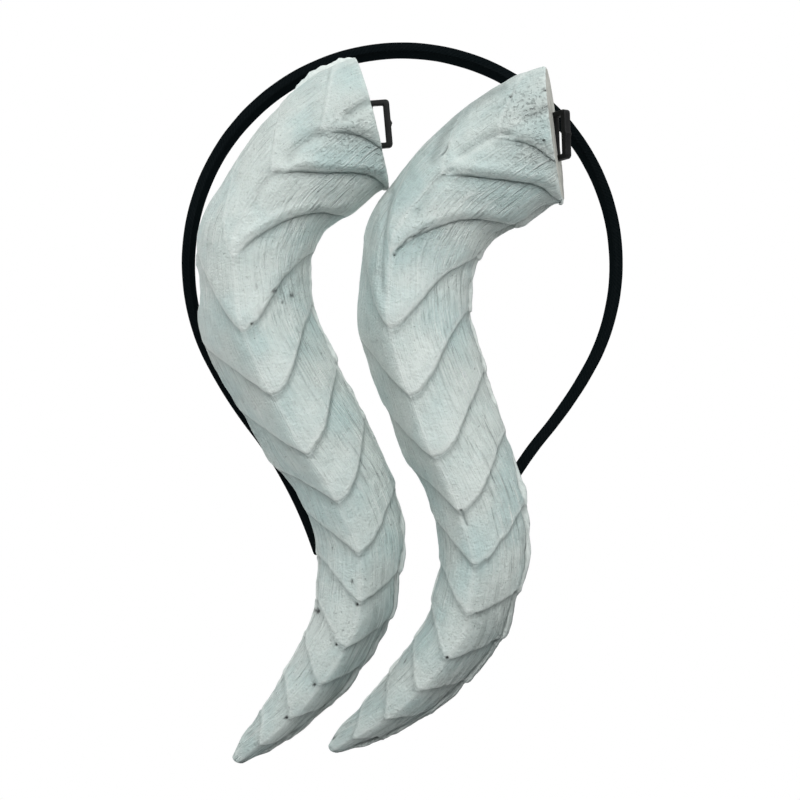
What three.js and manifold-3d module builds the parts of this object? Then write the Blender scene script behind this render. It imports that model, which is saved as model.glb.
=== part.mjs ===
// Devil horns headband laid flat: a black hoop on its edge and two cast horns lying loose over it.
// Millimetres, degrees. +Z is up from the table, +Y points to the crown of the hoop, +X to its right arm.
// The origin is under the middle of everything. Places below are measured from the crown's outer edge.
import * as THREE from "three";
import { mergeVertices } from "three/addons/utils/BufferGeometryUtils.js";
import Module from "manifold-3d";

const wasm = await Module();
wasm.setup();

const GAP = 0.3;
const rad = THREE.MathUtils.degToRad;
const mix = THREE.MathUtils.lerp;

// The hoop: a flat strip standing on its lower edge, thinner towards its round tips.
const BAND = { width: 10, thick: 2.8, tipThick: 2.4, taper: 70, corner: 0.5, pitch: 4 };
const BAND_TIP = { tongue: 4, nose: 1, narrowest: 0.3, thinnest: 0.25, steps: 6 };

// A corner of the strip's section: shares of the corner's size off its face and off its edge.
const BAND_CORNER = [
  { face: 0, edge: 1 },
  { face: 0.3, edge: 0.3 },
  { face: 1, edge: 0 },
];

// Half of the hoop from the crown to a tip: radius of the middle line and turn of each stretch.
// A negative turn bends outwards, which flares the tips.
const BAND_STRETCHES = [
  { radius: 62.75, turn: 118.5 },
  { radius: 131, turn: 10 },
  { radius: 115, turn: -20.7 },
];

// The buckle in each horn base: a plate with one slot for the hoop and a plain tab in the horn.
const SLIDER = { length: 13.8, reach: 5.4, thick: 2.2, round: 1.1, edge: 0.3 };
const SLIDER_SLOT = { length: 10.8, width: 3, bar: 1.8 };
const SLIDER_TAB = { depth: 6, length: 11, shoulder: 1.4 };
const SLIDER_NUB = { rise: 0.4, half: 1 };

// Sections of a horn from base to tip, in the horn's own plane, from the middle of its base.
// outer and inner are the two sides, rise and fall the height above and below, keel the side
// to side place of the top ridge: 1 is the outer side, -1 the inner side.
const SECTIONS = [
  { outer: [-5, 19], inner: [4.8, -17.8], rise: 17, fall: 14, keel: 0.25 },
  { outer: [-15, 14.5], inner: [0.3, -19.9], rise: 17, fall: 14.3, keel: 0.17 },
  { outer: [-25, 7], inner: [-7.5, -26], rise: 16.5, fall: 14.5, keel: 0.15 },
  { outer: [-34.5, -3.5], inner: [-14, -30.5], rise: 16, fall: 14.5, keel: 0.2 },
  { outer: [-42.5, -16], inner: [-17, -36.5], rise: 16, fall: 14.5, keel: 0.27 },
  { outer: [-49.5, -29.5], inner: [-18, -43.5], rise: 16, fall: 14.4, keel: 0.3 },
  { outer: [-50, -45.5], inner: [-17.5, -50.5], rise: 16, fall: 14.4, keel: 0.27 },
  { outer: [-48.5, -60.5], inner: [-15, -58], rise: 16, fall: 14, keel: 0.27 },
  { outer: [-43.5, -72], inner: [-11, -67], rise: 15.5, fall: 13.2, keel: 0.27 },
  { outer: [-36.5, -83.5], inner: [-6.5, -76.5], rise: 15, fall: 12, keel: 0.3 },
  { outer: [-30, -95], inner: [-1.5, -86], rise: 14, fall: 11, keel: 0.3 },
  { outer: [-22.5, -104], inner: [3.5, -97], rise: 13, fall: 10.2, keel: 0.28 },
  { outer: [-18, -113], inner: [7, -107.5], rise: 12, fall: 9.4, keel: 0.24 },
  { outer: [-15.5, -121.5], inner: [8.5, -119.5], rise: 11.2, fall: 8.8, keel: 0.1 },
  { outer: [-15.5, -130], inner: [7, -131], rise: 10.6, fall: 8.4, keel: 0 },
  { outer: [-16.7, -140.1], inner: [5, -141], rise: 10, fall: 8, keel: -0.1 },
  { outer: [-20.6, -148.3], inner: [-0.5, -151], rise: 9.2, fall: 7.4, keel: -0.14 },
  { outer: [-25.6, -157.8], inner: [-7, -160.2], rise: 8.2, fall: 6.6, keel: -0.12 },
  { outer: [-31.7, -167.2], inner: [-17, -170.2], rise: 6.6, fall: 5.4, keel: -0.1 },
  { outer: [-37, -174.5], inner: [-26.5, -177], rise: 4.6, fall: 3.8, keel: -0.05 },
  { outer: [-40, -180.5], inner: [-37, -182.5], rise: 1.6, fall: 1.4, keel: 0 },
];

// Pointed scales from base to tip, as places along the sections above: where the scale's point is on
// the ridge, where its edge meets the outer and the inner side, how each half of the edge bends (1 is
// straight, more keeps longer to the point) and how far the outer half stands out as a share of the
// inner half. The first one runs off the base.
const SCALES = [
  { point: 1.65, outer: 0.55, inner: -1.1, outerBend: 1, innerBend: 1, outerLift: 0.05 },
  { point: 3.25, outer: 2.1, inner: 0.3, outerBend: 1, innerBend: 1, outerLift: 0.05 },
  { point: 5.42, outer: 3.4, inner: 2.05, outerBend: 1, innerBend: 1.05, outerLift: 0.1 },
  { point: 7.04, outer: 5.3, inner: 4, outerBend: 1, innerBend: 1.45, outerLift: 0.6 },
  { point: 8.68, outer: 7.2, inner: 6.15, outerBend: 1, innerBend: 1.5, outerLift: 0.85 },
  { point: 10.18, outer: 8.85, inner: 8.1, outerBend: 1, innerBend: 1.6, outerLift: 1 },
  { point: 11.62, outer: 10.3, inner: 9.8, outerBend: 1, innerBend: 1.45, outerLift: 1 },
  { point: 13.1, outer: 11.7, inner: 11.65, outerBend: 1, innerBend: 1.35, outerLift: 1 },
  { point: 14.48, outer: 13.2, inner: 13.75, outerBend: 1.1, innerBend: 1.1, outerLift: 1 },
  { point: 15.85, outer: 14.55, inner: 15.1, outerBend: 1.3, innerBend: 1.05, outerLift: 1 },
  { point: 16.95, outer: 15.75, inner: 16.5, outerBend: 1.4, innerBend: 1, outerLift: 1 },
  { point: 17.95, outer: 16.95, inner: 17.6, outerBend: 1.3, innerBend: 1, outerLift: 1 },
  { point: 19.15, outer: 18.05, inner: 18.8, outerBend: 1.1, innerBend: 1, outerLift: 1 },
  { point: 20, outer: 20, inner: 20, outerBend: 1, innerBend: 1, outerLift: 1 },
];
const STUB = { point: -1.5, outer: -2, inner: -4, outerBend: 1, innerBend: 1, outerLift: 1 };

// One scale from its foot, under the scale before, to its raised edge: share of its length and of its lift.
const SCALE_STEPS = [
  { share: 0, lift: 0 },
  { share: 0.3, lift: 0.4 },
  { share: 0.62, lift: 0.8 },
  { share: 0.9, lift: 1 },
  { share: 1, lift: 0.72 },
];

// Lift of a scale's edge on a horn of full half width, shares of it at the sides, on the back and at
// the rim between front and back, how far past the scale before its foot begins, in sections, and how
// far to each side of the ridge the lift of one half fades into the other's.
const SCALE = {
  lift: 1.4,
  fullWidth: 17,
  side: 0.45,
  back: 0.5,
  rim: 0.34,
  rimPower: 4,
  foot: 0.07,
  fade: 0.2,
};

// How straight each flank falls from the ridge at some sections: 0 is a round shoulder, 1 a flat roof.
const ROOFS = [
  { place: 0, outer: 0.3, inner: 0.25 },
  { place: 5, outer: 0.4, inner: 0.25 },
  { place: 7.5, outer: 0.72, inner: 0.25 },
  { place: 11, outer: 0.76, inner: 0.25 },
  { place: 15, outer: 0.2, inner: 0.9 },
  { place: 20, outer: 0.2, inner: 0.9 },
];
const ROOF_BACK = 0.3;
const COLUMNS = { front: 16, back: 10 };

// Where each horn lies: middle of its base, its turn in the plane, roll and pitch, and its buckle's turn
// and tilt.
const HORNS = {
  left: { at: [-9.3, -25.2, 14.35], turn: 1.1, roll: 2.9, pitch: 0.4, slider: { turn: -10, tilt: 0 } },
  right: { at: [42.6, -29.2, 21.85], turn: -7.2, roll: -11.5, pitch: 0.6, slider: { turn: -5, tilt: 45 } },
};

const FINISHES = {
  band: { color: 0x0d1012, roughness: 0.95, metalness: 0 },
  slider: { color: 0x1b1d1f, roughness: 0.55, metalness: 0 },
  horn: { color: 0xc9d6d2, roughness: 0.6, metalness: 0 },
};

// Side of the blocks that cut a horn's base, larger than any section.
const BLOCK = 120;

// A closed geometry through rings of equal size, with a flat fan at each end.
function loft(rings) {
  const around = rings[0].length;
  const points = rings.flat();
  const index = [];
  for (let i = 0; i + 1 < rings.length; i++) {
    for (let j = 0; j < around; j++) {
      const a = i * around + j;
      const b = i * around + ((j + 1) % around);
      index.push(a, a + around, b, b, a + around, b + around);
    }
  }
  const ends = [0, (rings.length - 1) * around];
  ends.forEach((start, end) => {
    const middle = points.length;
    const sum = rings[end ? rings.length - 1 : 0].reduce((s, p) => s.add(p), new THREE.Vector3());
    points.push(sum.divideScalar(around));
    for (let j = 0; j < around; j++) {
      const a = start + j;
      const b = start + ((j + 1) % around);
      index.push(middle, end ? b : a, end ? a : b);
    }
  });
  return new THREE.BufferGeometry().setFromPoints(points).setIndex(index);
}

function toSolid(geometry) {
  const bare = new THREE.BufferGeometry();
  bare.setAttribute("position", geometry.getAttribute("position"));
  bare.setIndex(geometry.index);
  const merged = mergeVertices(bare, 1e-4);
  return new wasm.Manifold(
    new wasm.Mesh({
      numProp: 3,
      vertProperties: merged.attributes.position.array,
      triVerts: new Uint32Array(merged.index.array),
    }),
  );
}

function toGeometry(solid) {
  const mesh = solid.getMesh();
  return new THREE.BufferGeometry()
    .setAttribute("position", new THREE.BufferAttribute(mesh.vertProperties, 3))
    .setIndex(new THREE.BufferAttribute(mesh.triVerts, 1));
}

function named(name, geometry, finish) {
  geometry.computeVertexNormals();
  const mesh = new THREE.Mesh(geometry, new THREE.MeshStandardMaterial(finish));
  mesh.name = name;
  return mesh;
}

const stretchLength = ({ radius, turn }) => radius * rad(Math.abs(turn));
const bandLength = BAND_STRETCHES.reduce((sum, row) => sum + stretchLength(row), 0);

// The middle line of half the hoop at a distance from the crown: place, heading and distance to the tip.
function bandAt(distance) {
  let x = 0;
  let y = -BAND.thick / 2;
  let heading = 0;
  let rest = distance;
  for (const row of BAND_STRETCHES) {
    const step = Math.min(rest, stretchLength(row));
    const radius = row.radius * Math.sign(row.turn);
    const next = heading - step / radius;
    x += radius * (Math.sin(heading) - Math.sin(next));
    y += radius * (Math.cos(next) - Math.cos(heading));
    heading = next;
    rest -= step;
  }
  return { x, y, heading, left: bandLength - distance };
}

// Stations of half the hoop, crown first: even steps, then finer ones round the tip.
function bandHalf() {
  const even = bandLength - BAND_TIP.tongue;
  const steps = Math.round(even / BAND.pitch);
  const stations = [];
  for (let i = 0; i <= steps; i++) stations.push(bandAt((even * i) / steps));
  for (let i = 1; i <= BAND_TIP.steps; i++) {
    const angle = (Math.PI / 2) * (i / BAND_TIP.steps);
    stations.push(bandAt(even + BAND_TIP.tongue * Math.sin(angle)));
  }
  return stations;
}

// A quarter circle that falls to a least share over the last stretch before the tip.
function tipRound(left, length, least) {
  const gone = 1 - Math.min(1, left / length);
  return mix(least, 1, Math.sqrt(1 - gone * gone));
}

// The strip's section at a station: a rectangle with cut corners.
function bandRing({ x, y, heading, left }) {
  const full = mix(BAND.tipThick, BAND.thick, Math.min(1, left / BAND.taper));
  const thick = full * tipRound(left, BAND_TIP.nose, BAND_TIP.thinnest);
  const half = (BAND.width / 2) * tipRound(left, BAND_TIP.tongue, BAND_TIP.narrowest);
  const cut = Math.min(BAND.corner, thick / 3);
  const corner = BAND_CORNER.map(({ face, edge }) => [thick / 2 - cut * face, half - cut * edge]);
  const top = [...corner, ...corner.map(([across, up]) => [-across, up]).reverse()];
  const ring = [...top, ...top.map(([across, up]) => [-across, -up])];
  return ring.map(
    ([across, up]) =>
      new THREE.Vector3(
        x - across * Math.sin(heading),
        y + across * Math.cos(heading),
        BAND.width / 2 + up,
      ),
  );
}

function bandGeometry() {
  const right = bandHalf();
  const left = right.slice(1).map((p) => ({ ...p, x: -p.x, heading: -p.heading }));
  return loft([...right.reverse(), ...left].map(bandRing));
}

// A section number, whole or not, smoothed between the rows, and straight on beyond the base.
function sectionAt(place) {
  const last = SECTIONS.length - 1;
  const row = (i, pick) => {
    if (i < 0) return pick(SECTIONS[0]) + i * (pick(SECTIONS[1]) - pick(SECTIONS[0]));
    if (i > last) return 2 * pick(SECTIONS[last]) - pick(SECTIONS[last - 1]);
    return pick(SECTIONS[i]);
  };
  const low = Math.min(Math.floor(place), last - 1);
  const t = place - low;
  const smooth = (pick) => {
    const [a, b, c, d] = [-1, 0, 1, 2].map((k) => row(low + k, pick));
    const bend = 2 * a - 5 * b + 4 * c - d + (3 * b - a - 3 * c + d) * t;
    return 0.5 * (2 * b + (c - a) * t + bend * t * t);
  };
  return {
    outer: new THREE.Vector3(smooth((r) => r.outer[0]), smooth((r) => r.outer[1]), 0),
    inner: new THREE.Vector3(smooth((r) => r.inner[0]), smooth((r) => r.inner[1]), 0),
    rise: smooth((r) => r.rise),
    fall: smooth((r) => r.fall),
    keel: smooth((r) => r.keel),
  };
}

// Columns round a horn: the front from outer side over the ridge to inner side, then the back.
// side runs from 1 at the outer side through 0 at the ridge to -1 at the inner side.
function hornColumns() {
  const columns = [];
  for (let j = 0; j < COLUMNS.front; j++) columns.push({ front: true, side: 1 - (2 * j) / COLUMNS.front });
  for (let j = 0; j < COLUMNS.back; j++) columns.push({ front: false, side: -1 + (2 * j) / COLUMNS.back });
  return columns;
}

// Distance of a column from the ridge as a share of its flank's width.
const shareOut = (side) => Math.sin((Math.PI / 2) * Math.abs(side));

// Where a scale's edge crosses a column.
function edgeAt(scale, side) {
  const [rim, bend] = side > 0 ? [scale.outer, scale.outerBend] : [scale.inner, scale.innerBend];
  return mix(scale.point, rim, shareOut(side) ** bend);
}

function roofAt(place, side) {
  const flank = side > 0 ? "outer" : "inner";
  const beyond = ROOFS.findIndex((row) => row.place > place);
  const next = beyond < 0 ? ROOFS.length - 1 : Math.max(1, beyond);
  const [a, b] = [ROOFS[next - 1], ROOFS[next]];
  const share = THREE.MathUtils.clamp((place - a.place) / (b.place - a.place), 0, 1);
  return mix(a[flank], b[flank], share);
}

// A point of the horn's skin at a place along it and a column round it, raised by lift.
function hornPoint(place, { front, side }, lift) {
  const { outer, inner, rise, fall, keel } = sectionAt(place);
  const out = shareOut(side);
  const across = mix(front ? keel : 0, Math.sign(side), out);
  const roof = front ? roofAt(place, side) : ROOF_BACK;
  const height = mix(Math.sqrt(1 - out * out), 1 - out, roof) * ((front ? rise : fall) + lift);
  const half = outer.distanceTo(inner) / 2;
  const point = inner.clone().lerp(outer, 0.5 + 0.5 * across * (1 + lift / half));
  return point.setZ(front ? height : -height);
}

// How far a scale's skin stands off the plain horn, at a place along it and a column round it.
function scaleLift(scale, place, { front, side }) {
  const { outer, inner } = sectionAt(place);
  const size = Math.min(1, outer.distanceTo(inner) / 2 / SCALE.fullWidth);
  const away = Math.abs(side);
  const face = mix(1, SCALE.side, away) * (front ? 1 : SCALE.back);
  const half = mix(1, scale.outerLift, THREE.MathUtils.smoothstep(side, -SCALE.fade, SCALE.fade));
  return SCALE.lift * size * half * mix(face, SCALE.rim, away ** SCALE.rimPower);
}

function hornBlank() {
  const columns = hornColumns();
  const rings = [];
  let before = STUB;
  for (const scale of SCALES) {
    for (const { share, lift } of SCALE_STEPS) {
      rings.push(
        columns.map((column) => {
          const start = edgeAt(before, column.side) + SCALE.foot;
          const place = mix(start, edgeAt(scale, column.side), share);
          return hornPoint(place, column, lift * scaleLift(scale, place, column));
        }),
      );
    }
    before = scale;
  }
  return loft(rings);
}

// The frame of a horn's base: x points out of the base, y along it to the outer side. Tilt lifts x.
function baseMatrix({ turn, tilt }) {
  const [first] = SECTIONS;
  const along = Math.atan2(first.outer[1] - first.inner[1], first.outer[0] - first.inner[0]);
  const turned = new THREE.Matrix4().makeRotationZ(along - Math.PI / 2 + rad(turn));
  return turned.multiply(new THREE.Matrix4().makeRotationY(-rad(tilt)));
}

function sliderOutline() {
  const { length, reach, round } = SLIDER;
  const { depth, shoulder } = SLIDER_TAB;
  const { rise, half: nub } = SLIDER_NUB;
  const end = length / 2;
  const tab = SLIDER_TAB.length / 2;
  const shape = new THREE.Shape();
  shape.moveTo(-depth, -tab);
  shape.lineTo(-shoulder, -tab);
  shape.lineTo(-shoulder, -end);
  shape.lineTo(reach - round, -end);
  shape.absarc(reach - round, round - end, round, -Math.PI / 2, 0);
  shape.lineTo(reach, -nub);
  shape.quadraticCurveTo(reach + 2 * rise, 0, reach, nub);
  shape.absarc(reach - round, end - round, round, 0, Math.PI / 2);
  shape.lineTo(-shoulder, end);
  shape.lineTo(-shoulder, tab);
  shape.lineTo(-depth, tab);
  shape.closePath();
  return shape;
}

function sliderGeometry() {
  const { reach, thick, edge } = SLIDER;
  const { length, width, bar } = SLIDER_SLOT;
  const shape = sliderOutline();
  const hole = new THREE.Path();
  const far = reach - bar;
  const near = far - width;
  hole.moveTo(far, -length / 2);
  hole.lineTo(near, -length / 2);
  hole.lineTo(near, length / 2);
  hole.lineTo(far, length / 2);
  hole.closePath();
  shape.holes.push(hole);
  const solid = new THREE.ExtrudeGeometry(shape, {
    depth: thick - 2 * edge,
    bevelThickness: edge,
    bevelSize: edge,
    bevelOffset: -edge,
    bevelSegments: 1,
    curveSegments: 4,
  });
  return solid.translate(0, 0, edge - thick / 2);
}

// A horn with the flat base cut and the buckle's pocket taken out.
function hornGeometry(seat) {
  const blank = toSolid(hornBlank());
  const beyond = new THREE.BoxGeometry(BLOCK, BLOCK, BLOCK).translate(BLOCK / 2, 0, 0);
  const base = toSolid(beyond.applyMatrix4(baseMatrix({ turn: 0, tilt: 0 })));
  const pocket = new THREE.BoxGeometry(BLOCK, SLIDER.length + 2 * GAP, SLIDER.thick + 2 * GAP);
  pocket.translate(BLOCK / 2 - SLIDER_TAB.depth - GAP, 0, 0);
  const hole = toSolid(pocket.applyMatrix4(baseMatrix(seat)));
  return toGeometry(blank.subtract(base).subtract(hole));
}

function hornGroup(side) {
  const { at, turn, roll, pitch, slider: seat } = HORNS[side];
  const group = new THREE.Group();
  group.add(named("horn_" + side, hornGeometry(seat), FINISHES.horn));
  const slider = named("slider_" + side, sliderGeometry(), FINISHES.slider);
  slider.geometry.applyMatrix4(baseMatrix(seat));
  group.add(slider);
  group.position.set(...at);
  group.rotation.set(rad(pitch), rad(roll), rad(turn), "ZYX");
  return group;
}

const laid = new THREE.Group();
laid.add(named("headband", bandGeometry(), FINISHES.band));
laid.add(hornGroup("left"));
laid.add(hornGroup("right"));
laid.updateMatrixWorld(true);
const box = new THREE.Box3().setFromObject(laid, true);
const middle = box.getCenter(new THREE.Vector3());
laid.position.set(-middle.x, -middle.y, -box.min.z);

const part = new THREE.Group();
part.add(laid);
export default part;
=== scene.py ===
"""Devil horns headband laid flat: a black cloth hoop on its edge, two cast horns with pointed scales
lying loose over it, and a buckle in each horn's base."""

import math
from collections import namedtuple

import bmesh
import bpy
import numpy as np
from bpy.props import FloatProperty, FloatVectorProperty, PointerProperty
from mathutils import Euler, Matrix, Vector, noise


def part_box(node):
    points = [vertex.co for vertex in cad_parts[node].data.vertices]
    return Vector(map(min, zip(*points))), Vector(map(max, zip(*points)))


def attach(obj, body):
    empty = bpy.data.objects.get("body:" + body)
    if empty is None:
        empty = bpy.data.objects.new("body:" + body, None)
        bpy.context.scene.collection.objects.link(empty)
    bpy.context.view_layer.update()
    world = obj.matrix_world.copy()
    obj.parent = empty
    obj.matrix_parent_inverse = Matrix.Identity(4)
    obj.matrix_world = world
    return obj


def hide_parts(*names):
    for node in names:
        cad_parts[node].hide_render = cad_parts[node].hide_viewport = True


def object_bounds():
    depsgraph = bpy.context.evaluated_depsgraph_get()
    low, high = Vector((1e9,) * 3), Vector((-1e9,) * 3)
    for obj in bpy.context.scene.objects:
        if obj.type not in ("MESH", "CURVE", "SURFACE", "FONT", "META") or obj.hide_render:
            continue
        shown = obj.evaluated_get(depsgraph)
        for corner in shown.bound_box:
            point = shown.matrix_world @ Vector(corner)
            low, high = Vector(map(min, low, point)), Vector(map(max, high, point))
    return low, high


bl_info = {
    "name": "Devil Horns Headband",
    "version": (1, 0, 0),
    "blender": (4, 5, 0),
    "location": "3D View > Sidebar > Horns",
    "description": "Makes a headband, its two cast horns and their buckles, and sets the stage",
    "category": "Add Mesh",
}

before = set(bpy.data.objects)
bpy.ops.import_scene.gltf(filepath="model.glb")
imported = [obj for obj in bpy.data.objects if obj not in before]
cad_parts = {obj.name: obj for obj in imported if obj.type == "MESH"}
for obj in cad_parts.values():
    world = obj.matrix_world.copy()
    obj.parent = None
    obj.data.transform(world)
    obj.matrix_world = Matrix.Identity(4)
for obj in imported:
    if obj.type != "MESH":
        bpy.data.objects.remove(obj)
CAD_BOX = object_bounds()
HOOP_LOW, HOOP_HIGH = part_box("headband")

MM = 0.001
ROOT = "root"

# Points nearer to each other than this, in metres, are one point, and a patch of skin smaller than this, in
# square millimetres, has no direction.
SAME_PLACE = 1e-6
NO_AREA = 1e-9

# The crown's outer edge on the table, in millimetres. The hoop, the horns and the camera are placed from it.
CROWN = np.array(((HOOP_LOW.x + HOOP_HIGH.x) / 2, HOOP_HIGH.y, HOOP_LOW.z)) / MM

# The photograph, a square picture taken straight down: its size in pixels, the width of the camera's sensor
# in millimetres, and how far the camera stands from the crown towards the tips, in millimetres.
PICTURE = 800
SENSOR = 36
CAMERA_BACK = 103.95


class Band(namedtuple("Band", "strength middle width")):
    """A soft band: how strong it is, where its middle lies and how wide it is to each side."""

    def at(self, distance):
        return self.strength * np.exp(-((distance - self.middle) / self.width) ** 2)


class Fade(namedtuple("Fade", "strength width")):
    """What is strongest where it starts, and fades out over a width."""

    def at(self, distance):
        return self.strength * np.exp(-distance / self.width)


# Sections of a horn from base to tip, in millimetres in the horn's own plane from the middle of its base.
# keel is the side to side place of the ridge: 1 is the outer side, -1 the inner side.
Section = namedtuple("Section", "outer_x outer_y inner_x inner_y rise fall keel")
SECTIONS = (
    Section(-5, 19, 4.8, -17.8, 17, 14, 0.25),
    Section(-15, 14.5, 0.3, -19.9, 17, 14.3, 0.17),
    Section(-25, 7, -7.5, -26, 16.5, 14.5, 0.15),
    Section(-34.5, -3.5, -14, -30.5, 16, 14.5, 0.2),
    Section(-42.5, -16, -17, -36.5, 16, 14.5, 0.27),
    Section(-49.5, -29.5, -18, -43.5, 16, 14.4, 0.3),
    Section(-50, -45.5, -17.5, -50.5, 16, 14.4, 0.27),
    Section(-48.5, -60.5, -15, -58, 16, 14, 0.27),
    Section(-43.5, -72, -11, -67, 15.5, 13.2, 0.27),
    Section(-36.5, -83.5, -6.5, -76.5, 15, 12, 0.3),
    Section(-30, -95, -1.5, -86, 14, 11, 0.3),
    Section(-22.5, -104, 3.5, -97, 13, 10.2, 0.28),
    Section(-18, -113, 7, -107.5, 12, 9.4, 0.24),
    Section(-15.5, -121.5, 8.5, -119.5, 11.2, 8.8, 0.1),
    Section(-15.5, -130, 7, -131, 10.6, 8.4, 0),
    Section(-16.7, -140.1, 5, -141, 10, 8, -0.1),
    Section(-20.6, -148.3, -0.5, -151, 9.2, 7.4, -0.14),
    Section(-25.6, -157.8, -7, -160.2, 8.2, 6.6, -0.12),
    Section(-31.7, -167.2, -17, -170.2, 6.6, 5.4, -0.1),
    Section(-37, -174.5, -26.5, -177, 4.6, 3.8, -0.05),
    Section(-40, -180.5, -37, -182.5, 1.6, 1.4, 0),
)

# Pointed scales from base to tip, as places along the sections: the point on the ridge, where the edge
# meets each side, how each half bends (1 is straight, more keeps longer to the point), how far the outer
# half stands out as a share of the inner half, and, in millimetres, how softly the edge falls and how far
# the scale swells behind it. The stub is an edge before the first scale, which the cut of the base takes off.
Scale = namedtuple("Scale", "point outer inner outer_bend inner_bend outer_lift soft swell")
STUB = Scale(-1.5, -2, -4, 1, 1, 1, 1, 0)
SCALES = (
    Scale(1.65, 0.55, -1.1, 1, 1, 0.05, 1.6, 0.8),
    Scale(3.25, 2.1, 0.3, 1, 1, 0.05, 1.6, 1),
    Scale(5.42, 3.4, 2.05, 1, 1.05, 0.1, 1.8, 0.8),
    Scale(7.04, 5.3, 4, 1, 1.45, 0.6, 1.2, 0.35),
    Scale(8.68, 7.2, 6.15, 1, 1.5, 0.85, 0.8, 0.15),
    Scale(10.18, 8.85, 8.1, 1, 1.6, 1, 0.7, 0.1),
    Scale(11.62, 10.3, 9.8, 1, 1.45, 1, 0.7, 0.1),
    Scale(13.1, 11.7, 11.65, 1, 1.35, 1, 0.65, 0),
    Scale(14.48, 13.2, 13.75, 1.1, 1.1, 1, 0.6, 0),
    Scale(15.85, 14.55, 15.1, 1.3, 1.05, 1, 0.6, 0),
    Scale(16.95, 15.75, 16.5, 1.4, 1, 1, 0.55, 0),
    Scale(17.95, 16.95, 17.6, 1.3, 1, 1, 0.5, 0),
    Scale(19.15, 18.05, 18.8, 1.1, 1, 1, 0.5, 0),
    Scale(20, 20, 20, 1, 1, 1, 0.5, 0),
)

# How far a scale's foot starts past the edge before it, in places, and how round its point is as a share of
# the flank's width.
FOOT = 0.04
POINT_ROUND = 0.055

# How unevenly a scale's edge runs: how far it strays, in places, how often, and which way its seed turns it.
Stray = namedtuple("Stray", "by often turn")
STRAYS = (
    Stray(0.05, 7, 1),
    Stray(0.025, 31, -1),
)

# How much of a scale's fall lies past its edge: 0 is half of it, 1 nearly nine tenths.
LIP = 0.55

# How a scale stands out. It rises with a power of the way along it and swells behind its edge. At its foot
# it dips, on the inner half and after a swollen scale, and has a groove. Widths are in millimetres.
RISE_POWER = 1.7
SWELL = Band(1, 3.6, 2.6)
DIP = Band(1, 0, 3)
DIP_INNER = 0.35
DIP_OF_SWELL = 0.4
GROOVE = Fade(1, 0.5)

# The outer half starts at the ridge. Its flank falls more softly by a factor and holds less of the wash and
# painted shade.
OUTER_HALF = (-0.2, 0.1)
OUTER_FLANK = (0, 0.4)
OUTER_SOFT = 1.5
OUTER_WASH_AND_SHADE = 0.6

# How much of the lift is left: near the sides and on the back, and right at the sides before and after the
# sections between which that changes. A horn of this half width or more, in millimetres, has all of it.
LIFT_NEAR_SIDE = 0.45
LIFT_ON_BACK = 0.5
LIFT_AT_SIDE = (0.42, 0.9)
LIFT_CHANGE = (10, 13)
SIDE_POWER = 4
FULL_HALF_WIDTH = 17

# Rounding of the ridge as a share of the flank's width: near the base, and then at the foot and the point
# of each scale. The sections between which it changes come after it.
Ridge = namedtuple("Ridge", "base foot point")
RIDGE_ROUND = Ridge(0.25, 0.2, 0.42)
RIDGE_CHANGE = (4, 7)

# How straight each flank falls from the ridge at some sections: 0 is a round shoulder, 1 a roof that sags
# a little below flat.
Roof = namedtuple("Roof", "place outer inner")
ROOFS = (
    Roof(0, 0.3, 0.25),
    Roof(5, 0.3, 0.25),
    Roof(7.5, 0.68, 0.25),
    Roof(11, 0.74, 0.25),
    Roof(15, 0.2, 0.9),
)
ROOF_BACK = 0.3
ROOF_SAG = 1.2

# How square a round shoulder is: 2 is round, more is flatter on top. The sections between which it changes
# come after it.
SHOULDER_BASE, SHOULDER = 2.5, 2
SHOULDER_CHANGE = (2.5, 6)

# Sections between which the steep flank passes from the outer side of the ridge to the inner side.
STEEP_CHANGE = (11, 15)

# Where each horn lies: middle of its base in millimetres and turns in degrees. Then its buckle, with its own
# turn and tilt in the base in degrees, and the seed of the horn's noise.
Horn = namedtuple("Horn", "node at turn roll pitch buckle buckle_turn buckle_tilt seed")
HORNS = (
    Horn("horn_left", (-9.3, -25.2, 14.35), 1.1, 2.9, 0.4, "slider_left", -10, 0, 3),
    Horn("horn_right", (42.6, -29.2, 21.85), -7.2, -11.5, 0.6, "slider_right", -5, 45, 61),
)

# Length of a flank along its skin as a share of the straight way from the ridge to the side.
GIRTH = 1.12

# How far apart in the noise the scales lie, for the noise along a horn and along the scales' edges, and how
# far apart its two sides lie.
LEVEL_STEP = 3.7
EDGE_STEP = 5.3
SIDE_STEP = 9

# Soft lumps in the cast: their size in millimetres and their share of the height. The back shows less.
Lump = namedtuple("Lump", "size share")
LUMPS = (
    Lump(9, 1),
    Lump(3.4, 0.45),
    Lump(1.5, 0.25),
)
BACK_SHOWS = 0.35

# Lines along a horn: their size across and along it in millimetres, their share of the height and their
# own place in the noise. The shade streaks lay painted shade on the inner flank of the last scales, which
# faces away from the light, partly even and partly in streaks of darker paint.
Line = namedtuple("Line", "across along share shift")
LINES = (
    Line(0.9, 17, 1, 0),
    Line(0.5, 10, 0.7, 40),
)
LINES_LEAST = 0.2
SHADE_STREAKS = Line(0.55, 14, 1, 90)
SHADE_STREAK_RANGE = (-0.1, 0.35)
FLANK_SHADE_LEAST = 0.5
SHADED_FLANK = (0.05, 0.4)
FLANK_SHADE_START = (13, 16)

# Where the paint is brushed: on the flanks, less on the outer one, at the foot of a scale, and a little less
# near the base.
BRUSHED_FLANK = (0.1, 0.55)
BRUSHED_INNER = (0, 0.2)
BRUSHED_OUTER_SHARE = 0.6
BRUSHED_FOOT = 0.35
BRUSHED_START = (1, 3)
BRUSHED_BASE_SHARE = 0.8

# The hollow beside the ridge on the steep flank: depth in millimetres, and its place and width as shares of
# the flank. It closes with a power of the way along the scale, and starts between these sections.
HOLLOW_DEPTH = 0.3
HOLLOW = Band(1, 0.2, 0.14)
HOLLOW_POWER = 0.6
HOLLOW_START = (5.5, 8)
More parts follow.
